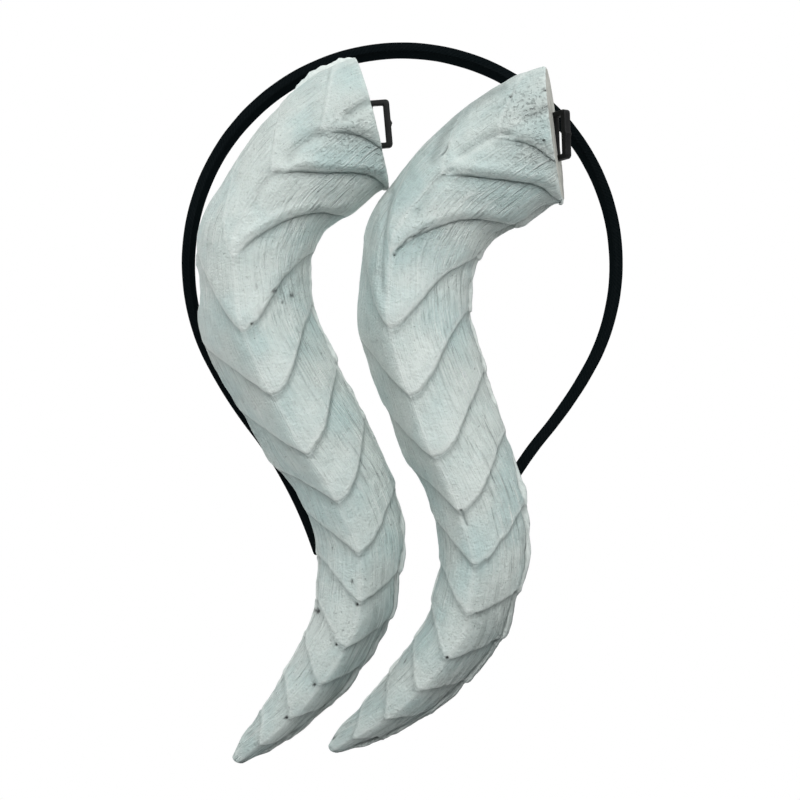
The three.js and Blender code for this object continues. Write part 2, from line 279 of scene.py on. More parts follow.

# Dark colour in the creases: wash and painted shade in the crease at a scale's foot and along its edge,
# painted shade beyond the foot and in the hollow, and a darkening of the ridge and outer flank near the base.
FOOT_WASH_AND_SHADE = Fade(0.35, 0.4)
FOOT_SHADE = Fade(0.38, 2.4)
EDGE_WASH_AND_SHADE = Fade(0.35, 0.25)
HOLLOW_SHADE = 0.2
BASE_DARKENING = 0.08
BASE_DARKENING_FLANK = (-0.3, 0)
BASE_DARKENING_END = (0.5, 4.5)

# Painted shade along the flash: under it at the inner rim and in the groove behind the sheet, broken by
# chips.
# It is whole where the flash has this width or more, in millimetres.
SEAM_WIDTH = 0.5
RIM_SHADE = Band(1, 0, 0.3)
SEAM_SHADE = Band(0.9, 1.25, 0.35)
CHIP_LENGTH = 1.1
CHIP_SHIFT = 60
CHIP_RANGE = (-0.3, 0.3)
CHIP_LEAST = 0.3

# Paint made pale: rubbed and painted highlight behind a scale's edge and on the ridge, painted highlight on
# the sheet of the flash, rubbed on the worn base, and painted highlight on the faces of the scales in the
# middle of a horn and on the outer flank of its upper bend.
EDGE_RUB_AND_HIGHLIGHT = Band(0.4, 0.9, 0.8)
RIDGE_RUB_AND_HIGHLIGHT = Band(0.35, 0, 0.8)
SEAM_HIGHLIGHT = Band(1.3, 0.6, 0.4)
BASE_RUB = 0.5
FACE_HIGHLIGHT = Band(0.45, -0.2, 0.3)
FACE_START, FACE_END = (3, 5), (11, 13)
FACE_SHARE = (0.2, 0.7)
BEND_HIGHLIGHT = 0.35
BEND_START, BEND_END = (3, 5), (7, 9)
BEND_FLANK = (0.25, 0.6)

# Folds cut into a horn's front: depth and half width in millimetres, darkness, and picture places. The
# darkness is painted shade deep in a fold, by this power of its depth, and in the smallest darkest folds a
# dark nick in the cast.
FOLD_SHADE_POWER = 3
Fold = namedtuple("Fold", "depth width dark places")
FOLDS = {
    "horn_left": (
        Fold(1.3, 1.8, 0.35, ((288, 160), (293, 152), (301, 144), (311, 138), (319, 136))),
        Fold(0.3, 0.6, 0.2, ((329, 70), (325, 94), (320, 122))),
        Fold(0.3, 0.6, 0.2, ((278, 112), (272, 140), (268, 172))),
        Fold(0.7, 1.6, 0.2, ((276, 174), (268, 179), (261, 190), (254, 207))),
        Fold(1.3, 1.5, 0.4, ((346, 116), (356, 110), (370, 102))),
    ),
    "horn_right": (
        Fold(1.3, 1.7, 0.4, ((461, 152), (470, 147), (478, 142), (486, 137), (496, 134), (507, 135))),
        Fold(0.3, 0.6, 0.2, ((513, 88), (507, 106), (501, 124))),
        Fold(0.5, 1.0, 0.3, ((391, 192), (384, 225), (381, 265), (382, 292))),
        Fold(0.7, 1.6, 0.2, ((449, 171), (438, 180), (428, 196), (418, 214))),
        Fold(1.2, 1.5, 0.35, ((525, 119), (537, 114), (551, 108))),
        Fold(0.4, 2.4, 0.5, ((432, 160), (441, 138), (456, 116), (480, 97), (503, 86))),
        Fold(0.6, 0.5, 1.4, ((446, 146), (444, 151), (441, 154))),
        Fold(0.5, 0.35, 0.5, ((394, 258), (398, 250), (403, 246), (409, 238), (417, 236), (425, 229))),
        Fold(0.5, 0.5, 1.4, ((461, 511), (464, 518), (467, 525))),
    ),
}

# Pinholes and chips in the cast, as picture places, with their radius in millimetres. All have one depth, in
# millimetres, and the power makes their walls steep.
PIT_DEPTH = 0.5
PIT_POWER = 4
Pit = namedtuple("Pit", "x y radius")
PITS = {
    "horn_left": (
        Pit(256, 287, 0.35),
        Pit(275, 291, 0.55),
        Pit(283, 303, 0.4),
        Pit(292, 296, 0.55),
        Pit(252, 324, 0.4),
        Pit(352, 582, 0.45),
        Pit(357, 605, 0.5),
        Pit(336, 645, 0.4),
        Pit(314, 685, 0.5),
        Pit(286, 718, 0.5),
        Pit(317, 611, 0.8),
    ),
    "horn_right": (
        Pit(394, 255, 0.35),
        Pit(510, 95, 0.4),
        Pit(544, 89, 0.55),
        Pit(545, 106, 0.4),
        Pit(544, 141, 0.45),
        Pit(447, 658, 0.5),
        Pit(405, 661, 0.35),
        Pit(334, 738, 0.4),
    ),
}

# Patches where the cast is porous and dull: picture place and radius in pixels, and strength.
Patch = namedtuple("Patch", "x y radius strength")
PATCHES = {
    "horn_left": (
        Patch(350, 130, 26, 0.7),
        Patch(372, 165, 24, 0.6),
        Patch(330, 165, 30, 0.35),
        Patch(290, 290, 26, 0.3),
        Patch(340, 680, 24, 0.4),
        Patch(300, 722, 22, 0.4),
    ),
    "horn_right": (
        Patch(528, 108, 30, 1),
        Patch(530, 150, 28, 0.6),
        Patch(425, 225, 26, 0.6),
        Patch(490, 190, 36, 0.3),
        Patch(492, 632, 30, 0.5),
        Patch(450, 690, 28, 0.6),
        Patch(402, 726, 24, 0.5),
    ),
}

# Flash, the ragged sheet left at the seam between the front and back of the cast: side 1 is the outer rim
# and -1 the inner rim, then the places where it starts and ends, its width in millimetres and the share of
# that which stands out past the side, or is trimmed off it where the share is negative. The rest of the
# width is cut back behind it.
Flash = namedtuple("Flash", "side start end width out")
FLASHES = {
    "horn_left": (
        Flash(1, -1, 1.7, 2.2, 0.9),
        Flash(1, 2, 6.4, 1.3, -1),
        Flash(-1, 4.5, 10.5, 1.4, 0.3),
        Flash(-1, 12, 19.5, 1.5, 0.35),
        Flash(1, 13, 18, 0.8, 0.5),
    ),
    "horn_right": (
        Flash(-1, -1, 4.7, 1.8, 0.25),
        Flash(-1, 5, 9, 1.6, 0.25),
        Flash(-1, 10.5, 19.5, 1.7, 0.35),
        Flash(1, 13.5, 18, 0.9, 0.5),
    ),
}

# How far an end of the flash runs out to each side of its place, in places.
FLASH_END = 0.2

# How far from the rim the sheet of the flash reaches and the skin behind it is cut back, in millimetres. The
# power makes the sheet's edge steep.
SHEET = 0.7
SHEET_POWER = 4
CUT_BACK = Band(1, 0, 3.5)

# How the rims run: the length of the waves in millimetres, their height and their own place in the noise.
# The flash stands at its mean share, with waves on it, up to its most. The rim itself wavers too.
Wave = namedtuple("Wave", "length height shift")
FLASH_MEAN, FLASH_MOST = 0.6, 1.2
FLASH_WAVES = (
    Wave(6, 0.8, 0),
    Wave(1.9, 0.35, 20),
)
RIM_WAVE = Wave(4.5, 0.3, 30)
RIM_WAVER = Band(1, 0, 2.5)

# How wide the worn edge of the base is in millimetres, and how it varies.
BASE_EDGE = 0.9
BASE_WEAR = Lump(1.5, 0.6)

# The grid of a horn's skin. Crowding draws rows to the scales' edges and columns to the ridge and the sides.
COLUMNS_FRONT = 130
COLUMNS_BACK = 60
COLUMN_CROWDING = 0.4
ROWS_PER_SECTION = 21
ROWS_LEAST = 12
ROW_CROWDING = 0.8

# The round nose of a horn: length in millimetres, rows, and how many rows back its direction is taken.
NOSE = 1.3
NOSE_ROWS = 6
NOSE_LOOK_BACK = 12


class HornSizes(bpy.types.PropertyGroup):
    """Sizes and colours of the two cast horns."""

    lift: FloatProperty(
        name="Scale lift", description="Height of a scale's edge over the next one",
        default=1.25 * MM, min=0, unit="LENGTH")
    groove: FloatProperty(
        name="Groove", description="Depth of the crease under a scale's edge",
        default=0.35 * MM, min=0, unit="LENGTH")
    lumps: FloatProperty(
        name="Lumps", description="Height of the soft unevenness of the cast",
        default=0.24 * MM, min=0, unit="LENGTH")
    streaks: FloatProperty(
        name="Streaks", description="Depth of the fine lines along a horn",
        default=0.05 * MM, min=0, unit="LENGTH")
    paint: FloatVectorProperty(
        name="Paint", description="Main colour of the paint", subtype="COLOR", size=4,
        default=(0.63, 0.705, 0.675, 1), min=0, max=1)
    cool: FloatVectorProperty(
        name="Cool paint", description="Colour of the cooler clouds in the paint", subtype="COLOR", size=4,
        default=(0.5, 0.635, 0.62, 1), min=0, max=1)
    # This pale colour paints pale brush strokes, rubbed ridges and edges, and painted highlights.
    rubbed_and_highlight: FloatVectorProperty(
        name="Rubbed edges", description="Colour of worn ridges and edges", subtype="COLOR", size=4,
        default=(0.8, 0.855, 0.825, 1), min=0, max=1)
    # This dark colour paints the dark brush marks, the wash in the creases and painted shade.
    wash_and_shade: FloatVectorProperty(
        name="Wash", description="Colour of the dark wash in the creases", subtype="COLOR", size=4,
        default=(0.17, 0.205, 0.2, 1), min=0, max=1)
    pinhole: FloatVectorProperty(
        name="Pinholes", description="Colour of the pinholes and chips", subtype="COLOR", size=4,
        default=(0.012, 0.013, 0.013, 1), min=0, max=1)
    foam: FloatVectorProperty(
        name="Bare foam", description="Colour of the unpainted base", subtype="COLOR", size=4,
        default=(0.56, 0.57, 0.52, 1), min=0, max=1)


class HoopSizes(bpy.types.PropertyGroup):
    """Sizes and colours of the hoop."""

    width: FloatProperty(
        name="Width", description="Width of the strip, which stands on its edge",
        default=HOOP_HIGH.z - HOOP_LOW.z, min=0, unit="LENGTH")
    thick: FloatProperty(
        name="Thickness", description="Thickness of the strip at the crown",
        default=2.8 * MM, min=0, unit="LENGTH")
    tip_thick: FloatProperty(
        name="Tip thickness", description="Thickness of the strip near its tips",
        default=2.4 * MM, min=0, unit="LENGTH")
    cloth: FloatVectorProperty(
        name="Cloth", description="Colour of the cloth wrap", subtype="COLOR", size=4,
        default=(0.003, 0.005, 0.0058, 1), min=0, max=1)
    fuzz: FloatVectorProperty(
        name="Fuzz", description="Colour of the raised threads", subtype="COLOR", size=4,
        default=(0.008, 0.011, 0.0122, 1), min=0, max=1)
    # The worn edge colour paints worn cloth and a painted highlight along the strip's edges.
    worn: FloatVectorProperty(
        name="Worn edges", description="Colour of the cloth's worn edges", subtype="COLOR", size=4,
        default=(0.009, 0.011, 0.012, 1), min=0, max=1)


class BuckleSizes(bpy.types.PropertyGroup):
    """Sizes and colours of the buckles in the horns' bases."""

    thick: FloatProperty(
        name="Thickness", description="Thickness of the plate",
        default=2.2 * MM, min=0, unit="LENGTH")
    edge: FloatProperty(
        name="Edge", description="Rounding of the plate's edges",
        default=0.3 * MM, min=0, unit="LENGTH")
    plastic: FloatVectorProperty(
        name="Plastic", description="Colour of the moulded plastic", subtype="COLOR", size=4,
        default=(0.003, 0.0036, 0.004, 1), min=0, max=1)


class StageSizes(bpy.types.PropertyGroup):
    """The camera, the floor and the lights."""

    height: FloatProperty(
        name="Camera height", description="Height of the camera over the floor",
        default=420 * MM, min=0, unit="LENGTH")
    lens: FloatProperty(
        name="Lens", description="Focal length on a 36 mm sensor, in millimetres",
        default=63.62, min=1)
    turn: FloatProperty(
        name="Camera turn", description="Turn of the picture about the vertical",
        default=math.radians(0.945), subtype="ANGLE")
    floor: FloatVectorProperty(
        name="Floor", description="Colour of the shadowless floor", subtype="COLOR", size=4,
        default=(1, 1, 1, 1), min=0, max=1)
    sky: FloatVectorProperty(
        name="Sky", description="Colour of the dim light from all round", subtype="COLOR", size=4,
        default=(0.9, 0.95, 0.97, 1), min=0, max=1)
    sky_strength: FloatProperty(
        name="Sky strength", description="Strength of the dim light from all round", default=0.03, min=0)


class HeadbandSizes(bpy.types.PropertyGroup):
    """Everything that a user would change."""

    horns: PointerProperty(type=HornSizes)
    hoop: PointerProperty(type=HoopSizes)
    buckles: PointerProperty(type=BuckleSizes)
    stage: PointerProperty(type=StageSizes)


class Socket:
    """An output of a node, whose arithmetic adds Math nodes."""

    def __init__(self, shader, output):
        self.shader = shader
        self.output = output

    def math(self, operation, first, second):
        return self.shader.node("ShaderNodeMath", {"operation": operation}, {0: first, 1: second})

    def __add__(self, other):
        return self.math("ADD", self, other)

    def __radd__(self, other):
        return self.math("ADD", other, self)

    def __sub__(self, other):
        return self.math("SUBTRACT", self, other)

    def __rsub__(self, other):
        return self.math("SUBTRACT", other, self)

    def __mul__(self, other):
        return self.math("MULTIPLY", self, other)

    def __rmul__(self, other):
        return self.math("MULTIPLY", other, self)


class Shader:
    """A material and the nodes in it."""

    def __init__(self, name, **constants):
        self.material = bpy.data.materials.new(name)
        self.material.use_nodes = True
        self.nodes = self.material.node_tree.nodes
        self.links = self.material.node_tree.links
        self.surface = self.nodes["Principled BSDF"]
        self.feed(self.surface, {key.replace("_", " "): value for key, value in constants.items()})

    def feed(self, node, inputs):
        for key, value in inputs.items():
            if isinstance(value, Socket):
                self.links.new(value.output, node.inputs[key])
            else:
                node.inputs[key].default_value = value

    def node(self, kind, settings=None, inputs=None, output=0):
        made = self.nodes.new(kind)
        for key, value in (settings or {}).items():
            setattr(made, key, value)
        self.feed(made, inputs or {})
        return Socket(self, made.outputs[output])

    def mix(self, factor, first, second):
        settings = {"data_type": "RGBA"}
        return self.node("ShaderNodeMix", settings, {0: factor, 6: first, 7: second}, output=2)

    def ramp(self, value, low, high):
        settings = {"interpolation_type": "SMOOTHSTEP"}
        inputs = {"Value": value, "From Min": low, "From Max": high}
        return self.node("ShaderNodeMapRange", settings, inputs)

    def mark(self, value, mark):
        """How strongly a noise marks the surface."""
        return self.ramp(value, mark.low, mark.high) * mark.strength

    def noise(self, vector, grain):
        inputs = {"Scale": grain.scale, "Detail": grain.detail, "Roughness": grain.roughness}
        return self.node("ShaderNodeTexNoise", {}, {"Vector": vector, **inputs})

    def strokes(self, skin, stroke):
        """Noise drawn out over the skin."""
        inputs = {"Vector": skin, "Scale": (stroke.u, stroke.v, 1)}
        stretched = self.node("ShaderNodeMapping", {"vector_type": "TEXTURE"}, inputs)
        return self.noise(stretched, Grain(1, stroke.detail, stroke.roughness))

    def attribute(self, name):
        return self.node("ShaderNodeAttribute", {"attribute_name": name}, output="Fac")

    def bump(self, height, strength, distance):
        inputs = {"Height": height, "Strength": strength, "Distance": distance}
        return self.node("ShaderNodeBump", {}, inputs)


# Noise in the finishes, by scale for each metre, detail and roughness. Strokes are drawn out over the skin,
# and have a size in millimetres along the two axes of its map instead.
Grain = namedtuple("Grain", "scale detail roughness")
Stroke = namedtuple("Stroke", "u v detail roughness")

# Marks that a noise leaves: the values between which a mark grows to its full strength, and that strength.
# A pair of values alone is a mark of full strength.
Mark = namedtuple("Mark", "low high strength")

# The horns' paint. Strokes and hairs of the brush leave pale and dark marks and a relief, each with a least
# share everywhere and more where the paint is brushed. Pores darken the porous patches. The last row says
# how much of the pale colour, rubbed paint and painted highlight, and of the dark wash and painted shade
# shows.
Brushing = namedtuple("Brushing", "least more")
PAINT_STROKES = Stroke(0.75, 13, 4, 0.6)
PAINT_HAIRS = Stroke(0.38, 8, 2, 0.5)
PAINT_CLOUDS = Grain(55, 3, 0.5)
PAINT_MOTTLE = Grain(330, 3, 0.6)
PAINT_GRAIN = Grain(1500, 2, 0.6)
PAINT_PORES = Grain(1150, 2, 0.5)
PAINT_SPECKS = Grain(950, 1, 0.5)
COOL_CLOUDS = (0.35, 0.68)
PALE_STROKES = Mark(0.5, 0.75, 0.35)
PALE_HAIRS = Mark(0.52, 0.75, 0.3)
PALE = Brushing(0.4, 1.6)
DARK_STROKES = Mark(0.47, 0.25, 0.2)
DARK_HAIRS = Mark(0.45, 0.2, 0.2)
DARK = Brushing(0.4, 2.5)
DARK_GRAIN = Mark(0.45, 0.25, 0.25)
DARK_MOTTLE = Mark(0.5, 0.25, 0.12)
DARK_SPECKS = Mark(0.72, 0.78, 0.5)
PORES = (0.45, 0.35)
DARK_PORES, DARK_POROUS = 0.35, 0.18
RUBBED_AND_HIGHLIGHT, WASHED_AND_SHADED = 0.75, 0.7

# The paint's relief: shares of its height, how the strokes' share grows, and the whole height in metres. Its
# roughness grows with the grain and in the creases.
Relief = namedtuple("Relief", "strokes hairs grain mottle pores")
PAINT_RELIEF = Relief(0.8, 0.9, 0.38, 0.6, 0.4)
STROKE_RELIEF = Brushing(0.2, 0.8)
PAINT_HEIGHT = 0.8 * MM
PAINT_ROUGH, ROUGH_GRAIN, ROUGH_CREASE = 0.5, 0.2, 0.2


def horn_paint(sizes):
    """Brushed pale paint with a dark wash and painted shade in the creases, and rubbed edges and painted
    highlights.
    """
    shader = Shader("horn_paint", Specular_IOR_Level=0.4)
    place = shader.node("ShaderNodeTexCoord", output="Object")
    skin = shader.node("ShaderNodeUVMap", {"uv_map": "skin"})
    strokes = shader.strokes(skin, PAINT_STROKES)
    hairs = shader.strokes(skin, PAINT_HAIRS)
    mottle = shader.noise(place, PAINT_MOTTLE)
    grain = shader.noise(place, PAINT_GRAIN)
    crease = shader.attribute("crease")
    porous = shader.attribute("porous")
    brushed = shader.attribute("brushed")
    pores = shader.ramp(shader.noise(place, PAINT_PORES), *PORES) * porous
    clouds = shader.ramp(shader.noise(place, PAINT_CLOUDS), *COOL_CLOUDS)
    colour = shader.mix(clouds, tuple(sizes.paint), tuple(sizes.cool))
    pale = shader.mark(strokes, PALE_STROKES) + shader.mark(hairs, PALE_HAIRS)
    colour = shader.mix(pale * (brushed * PALE.more + PALE.least), colour, tuple(sizes.rubbed_and_highlight))
    dark = shader.mark(strokes, DARK_STROKES) + shader.mark(hairs, DARK_HAIRS)
    dark = dark * (brushed * DARK.more + DARK.least) + shader.mark(grain, DARK_GRAIN)
    dark = dark + shader.mark(mottle, DARK_MOTTLE) + pores * DARK_PORES + porous * DARK_POROUS
    dark = dark + shader.mark(shader.noise(place, PAINT_SPECKS), DARK_SPECKS)
    colour = shader.mix(dark, colour, tuple(sizes.wash_and_shade))
    # Rubbed paint and painted highlights.
    colour = shader.mix(shader.attribute("rubbed_and_highlight") * RUBBED_AND_HIGHLIGHT, colour, tuple(sizes.rubbed_and_highlight))
    # Wash and painted shade in the creases.
    colour = shader.mix(crease * WASHED_AND_SHADED, colour, tuple(sizes.wash_and_shade))
    colour = shader.mix(shader.attribute("pit"), colour, tuple(sizes.pinhole))
    height = strokes * PAINT_RELIEF.strokes + hairs * PAINT_RELIEF.hairs
    height = height * (brushed * STROKE_RELIEF.more + STROKE_RELIEF.least)
    height = height + grain * PAINT_RELIEF.grain + mottle * PAINT_RELIEF.mottle - pores * PAINT_RELIEF.pores
    shader.feed(shader.surface, {
        "Base Color": colour,
        "Roughness": PAINT_ROUGH + grain * ROUGH_GRAIN + crease * ROUGH_CREASE,
        "Normal": shader.bump(height, 1, PAINT_HEIGHT),
    })
    return shader.material


# The bare foam: its clouds and open cells, the share of its colour in the darker clouds, and the cells'
# relief in metres with its strength.
FOAM_CLOUDS = Grain(160, 3, 0.5)
FOAM_SHADES = (0.3, 0.7)
FOAM_SHADE = 0.6
FOAM_CELLS = 1300
FOAM_CELL_WASH = Mark(0.25, 0.05, 0.6)
FOAM_STRENGTH, FOAM_HEIGHT = 0.6, 0.4 * MM


def bare_foam(sizes):
    """Cut rigid foam with open cells."""
    shader = Shader("bare_foam", Roughness=0.9)
    place = shader.node("ShaderNodeTexCoord", output="Object")
    cells = shader.node("ShaderNodeTexVoronoi", {}, {"Vector": place, "Scale": FOAM_CELLS})
    clouds = shader.ramp(shader.noise(place, FOAM_CLOUDS), *FOAM_SHADES)
    shade = tuple(FOAM_SHADE * part for part in sizes.foam[:3]) + (1,)
    colour = shader.mix(clouds, tuple(sizes.foam), shade)
    colour = shader.mix(shader.mark(cells, FOAM_CELL_WASH), colour, tuple(sizes.wash_and_shade))
    shader.feed(shader.surface, {
        "Base Color": colour,
        "Normal": shader.bump(cells, FOAM_STRENGTH, FOAM_HEIGHT),
    })
    return shader.material


# The hoop's cloth: its weave and fuzz, and how far they lighten it, how its edges wear and take a painted
# highlight, and its relief.
CLOTH_TWILL = {"Scale": 0.55, "Distortion": 0.6, "Detail": 1}
CLOTH_FUZZ = Grain(900, 3, 0.5)
CLOTH_WEAR = Stroke(30, 0.6, 3, 0.5)
RAISED_TWILL = 0.5
RAISED_FUZZ = Mark(0.45, 0.75, 0.5)
RAISED = 0.7
WORN_EDGE = Mark(0.4, 0.7, 0.5)
TWILL_RELIEF, FUZZ_RELIEF = 0.7, 0.6
CLOTH_STRENGTH, CLOTH_HEIGHT = 0.5, 0.15 * MM


def hoop_cloth(sizes):
    """Matt black cloth with a fine diagonal weave."""
    shader = Shader("hoop_cloth", Roughness=0.95, Specular_IOR_Level=0)
    skin = shader.node("ShaderNodeUVMap", {"uv_map": "skin"})
    place = shader.node("ShaderNodeTexCoord", output="Object")
    twill = shader.node(
        "ShaderNodeTexWave",
        {"wave_type": "BANDS", "bands_direction": "DIAGONAL"},
        {"Vector": skin, **CLOTH_TWILL})
    fuzz = shader.noise(place, CLOTH_FUZZ)
    raised = twill * RAISED_TWILL + shader.mark(fuzz, RAISED_FUZZ)
    # Worn cloth and a painted highlight along the strip's edges.
    worn = shader.attribute("edge") * shader.mark(shader.strokes(skin, CLOTH_WEAR), WORN_EDGE)
    colour = shader.mix(raised * RAISED, tuple(sizes.cloth), tuple(sizes.fuzz))
    colour = shader.mix(worn, colour, tuple(sizes.worn))
    height = twill * TWILL_RELIEF + fuzz * FUZZ_RELIEF
    shader.feed(shader.surface, {
        "Base Color": colour,
        "Normal": shader.bump(height, CLOTH_STRENGTH, CLOTH_HEIGHT),
    })
    return shader.material


# The buckles' plastic: its grain and scuffs, how many times paler the scuffs are, and its roughness and
# relief.
PLASTIC_GRAIN = Grain(2200, 2, 0.5)
PLASTIC_SCUFFS = Grain(420, 4, 0.6)
PALE_SCUFFS = Mark(0.5, 0.75, 0.6)
SCUFF_PALER = 3.5
PLASTIC_ROUGH, ROUGH_SCUFFS = 0.42, 0.3
PLASTIC_STRENGTH, PLASTIC_HEIGHT = 0.3, 0.08 * MM


def buckle_plastic(sizes):
    """Moulded black plastic with a fine grain and paler scuffs."""
    shader = Shader("buckle_plastic", Specular_IOR_Level=0.25)
    place = shader.node("ShaderNodeTexCoord", output="Object")
    grain = shader.noise(place, PLASTIC_GRAIN)
    scuffs = shader.noise(place, PLASTIC_SCUFFS)
    pale = tuple(SCUFF_PALER * part for part in sizes.plastic[:3]) + (1,)
    shader.feed(shader.surface, {
        "Base Color": shader.mix(shader.mark(scuffs, PALE_SCUFFS), tuple(sizes.plastic), pale),
        "Roughness": PLASTIC_ROUGH + scuffs * ROUGH_SCUFFS,
        "Normal": shader.bump(grain, PLASTIC_STRENGTH, PLASTIC_HEIGHT),
    })
    return shader.material


def mix(first, second, share):
    return first + (second - first) * share


def smooth(value, low, high):
    share = np.clip((value - low) / (high - low), 0, 1)
    return share * share * (3 - 2 * share)


def between(value, rise, fall):
    """A share that grows to 1 over one range of values and goes back to 0 over a later one."""
    return smooth(value, *rise) * (1 - smooth(value, *fall))


def noise_at(*axes):
    """Smooth noise from -1 to 1 at the points given by three arrays."""
    axes = np.broadcast_arrays(*axes)
    points = np.stack(axes, -1).reshape(-1, 3)
    return np.array([noise.noise(point) for point in points.tolist()]).reshape(axes[0].shape)


def section_at(place):
    """Sections smoothed between the rows of the table, and straight on beyond the base."""
    rows = np.array(SECTIONS)
    last = len(rows) - 1
    beyond = 8
    before = [rows[0] + step * (rows[1] - rows[0]) for step in range(-beyond, 0)]
    table = np.vstack((before, rows, [2 * rows[last] - rows[last - 1]]))
    low = np.minimum(np.floor(place), last - 1).astype(int)
    t = (place - low)[..., None]
    a, b, c, d = (table[low + beyond + step] for step in (-1, 0, 1, 2))
    bend = 2 * a - 5 * b + 4 * c - d + (3 * b - a - 3 * c + d) * t
    return Section(*np.moveaxis(0.5 * (2 * b + (c - a) * t + bend * t * t), -1, 0))


def share_out(side):
    """Distance from the ridge as a share of the flank's width."""
    return np.sin(np.abs(side) * math.pi / 2)


def rounded(out, radius):
    """A share from 0 to 1 whose start is rounded off."""
    return (np.sqrt(out * out + radius * radius) - radius) / (np.sqrt(1 + radius * radius) - radius)


def edge_at(scale, side):
    """Places of a scale's edge round a horn."""
    bend = np.where(side > 0, scale.outer_bend, scale.inner_bend)
    rim = np.where(side > 0, scale.outer, scale.inner)
    return mix(scale.point, rim, rounded(share_out(side), POINT_ROUND) ** bend)


def half_width(section):
    return np.hypot(section.outer_x - section.inner_x, section.outer_y - section.inner_y) / 2


def skin_points(place, share, side, front, lift):
    """Points of a horn's skin in its own frame, in millimetres."""
    section = section_at(place)
    out = share_out(side)
    across = mix(np.where(front, section.keel, 0), np.sign(side), out)
    places, outer_roofs, inner_roofs = zip(*ROOFS)
    roof = np.where(side > 0, np.interp(place, places, outer_roofs), np.interp(place, places, inner_roofs))
    roof = np.where(front, roof, ROOF_BACK)
    crisp = mix(RIDGE_ROUND.foot, RIDGE_ROUND.point, share)
    ridge = mix(RIDGE_ROUND.base, crisp, smooth(place, *RIDGE_CHANGE))
    square = mix(SHOULDER_BASE, SHOULDER, smooth(place, *SHOULDER_CHANGE))
    shoulder = np.maximum(0, 1 - out ** square) ** (1 / square)
    height = mix(shoulder, (1 - rounded(out, ridge)) ** ROOF_SAG, roof)
    height = height * (np.where(front, section.rise, section.fall) + lift)
    share = 0.5 + 0.5 * across * (1 + lift / half_width(section))
    x = mix(section.inner_x, section.outer_x, share)
    y = mix(section.inner_y, section.outer_y, share)
    return np.stack((x, y, np.where(front, height, -height)), -1)


def horn_columns():
    """Columns round a horn from the middle of its back: side 1 is the outer rim, -1 the inner rim."""
    half = COLUMNS_BACK // 2
    even = np.linspace(1, -1, COLUMNS_FRONT, endpoint=False)
    side = np.concatenate((
        np.linspace(0, 1, half, endpoint=False),
        even - COLUMN_CROWDING * np.sin(2 * math.pi * even) / (2 * math.pi),
        np.linspace(-1, 0, half + 1),
    ))
    front = np.zeros(len(side), bool)
    front[half:half + COLUMNS_FRONT + 1] = True
    return side, front


def horn_rows(side, seed):
    """Rows along a horn, scale by scale: place, share of the scale's length and number of the scale."""
    places, shares, numbers = [], [], []
    before = edge_at(STUB, side)
    for number, scale in enumerate(SCALES):
        row = np.full(len(side), number * EDGE_STEP)
        after = edge_at(scale, side)
        if scale is not SCALES[-1]:
            for stray in STRAYS:
                after = after + stray.by * noise_at(side * stray.often, row, row + stray.turn * seed)
        count = max(ROWS_LEAST, round(ROWS_PER_SECTION * float(np.max(after) - np.max(before))))
        t = np.linspace(0, 1, count)
        share = t - ROW_CROWDING * np.sin(2 * math.pi * t) / (2 * math.pi)
        places.append(mix(before + FOOT, after, share[:, None]))
        shares.append(share)
        numbers.append(np.full(count, number))
        before = after
    return np.vstack(places), np.concatenate(shares), np.concatenate(numbers)


def scale_edges(points, numbers):
    """Distance along the skin from each point back to its scale's foot and on to its scale's edge."""
    steps = np.linalg.norm(np.diff(points, axis=0), axis=-1)
    run = np.vstack((np.zeros(points.shape[1]), np.cumsum(steps, axis=0)))
    first = np.searchsorted(numbers, numbers, "left")
    last = np.searchsorted(numbers, numbers, "right") - 1
    return run, run - run[first], run[last] - run


def outward(points):
    """Normals of a grid that is closed round its columns."""
    round_step = np.roll(points[:, :-1], -1, axis=1) - np.roll(points[:, :-1], 1, axis=1)
    round_step = np.concatenate((round_step, round_step[:, :1]), axis=1)
    along_step = np.gradient(points, axis=0)
    normal = np.cross(round_step, along_step)
    normal /= np.maximum(NO_AREA, np.linalg.norm(normal, axis=-1, keepdims=True))
    away = points - points[:, :-1].mean(axis=1, keepdims=True)
    return normal * np.sign((normal * away).sum())


def rim_distance(points):
    """Distance of each point of a grid from the nearer of its row's two rims."""
    outer = points[:, COLUMNS_BACK // 2, None]
    inner = points[:, COLUMNS_BACK // 2 + COLUMNS_FRONT, None]
    return np.minimum(np.linalg.norm(points - outer, axis=-1), np.linalg.norm(points - inner, axis=-1))


def horn_matrix(horn):
    turns = Euler([math.radians(angle) for angle in (horn.pitch, horn.roll, horn.turn)], "XYZ")
    return Matrix.Translation(CROWN + horn.at) @ turns.to_matrix().to_4x4()


def base_matrix(turn=0, tilt=0):
    """Frame of a horn's base: x points out of the base, y along it to the outer side. Tilt lifts x."""
    first = SECTIONS[0]
    along = math.atan2(first.outer_y - first.inner_y, first.outer_x - first.inner_x)
    turned = Matrix.Rotation(along - math.pi / 2 + math.radians(turn), 4, "Z")
    return turned @ Matrix.Rotation(-math.radians(tilt), 4, "Y")


def placed(matrix, points):
    rows = np.array(matrix)
    return points @ rows[:3, :3].T + rows[:3, 3]


def picture_places(points, stage):
    """Where placed points show in the photograph, in pixels."""
    x, y, z = np.moveaxis(points - CROWN, -1, 0)
    y = y + CAMERA_BACK
    c, s = math.cos(stage.turn), math.sin(stage.turn)
    zoom = stage.lens / SENSOR * PICTURE / (stage.height / MM - z)
    return np.stack((PICTURE / 2 + (x * c + y * s) * zoom, PICTURE / 2 - (y * c - x * s) * zoom), -1)


def line_distance(pixels, places):
    """Distance in pixels from each point to a line through places."""
    nearest = np.full(pixels.shape[:-1], np.inf)
    for start, end in zip(np.array(places[:-1], float), np.array(places[1:], float)):
        step = end - start
        share = np.clip(((pixels - start) @ step) / (step @ step), 0, 1)
        gap = np.linalg.norm(pixels - start - share[..., None] * step, axis=-1)
        nearest = np.minimum(nearest, gap)
    return nearest


def scale_values(number):
    """Values of the scales with these numbers, as columns. The stub is number 0."""
    return Scale(*np.array((STUB, *SCALES))[number].T[..., None])


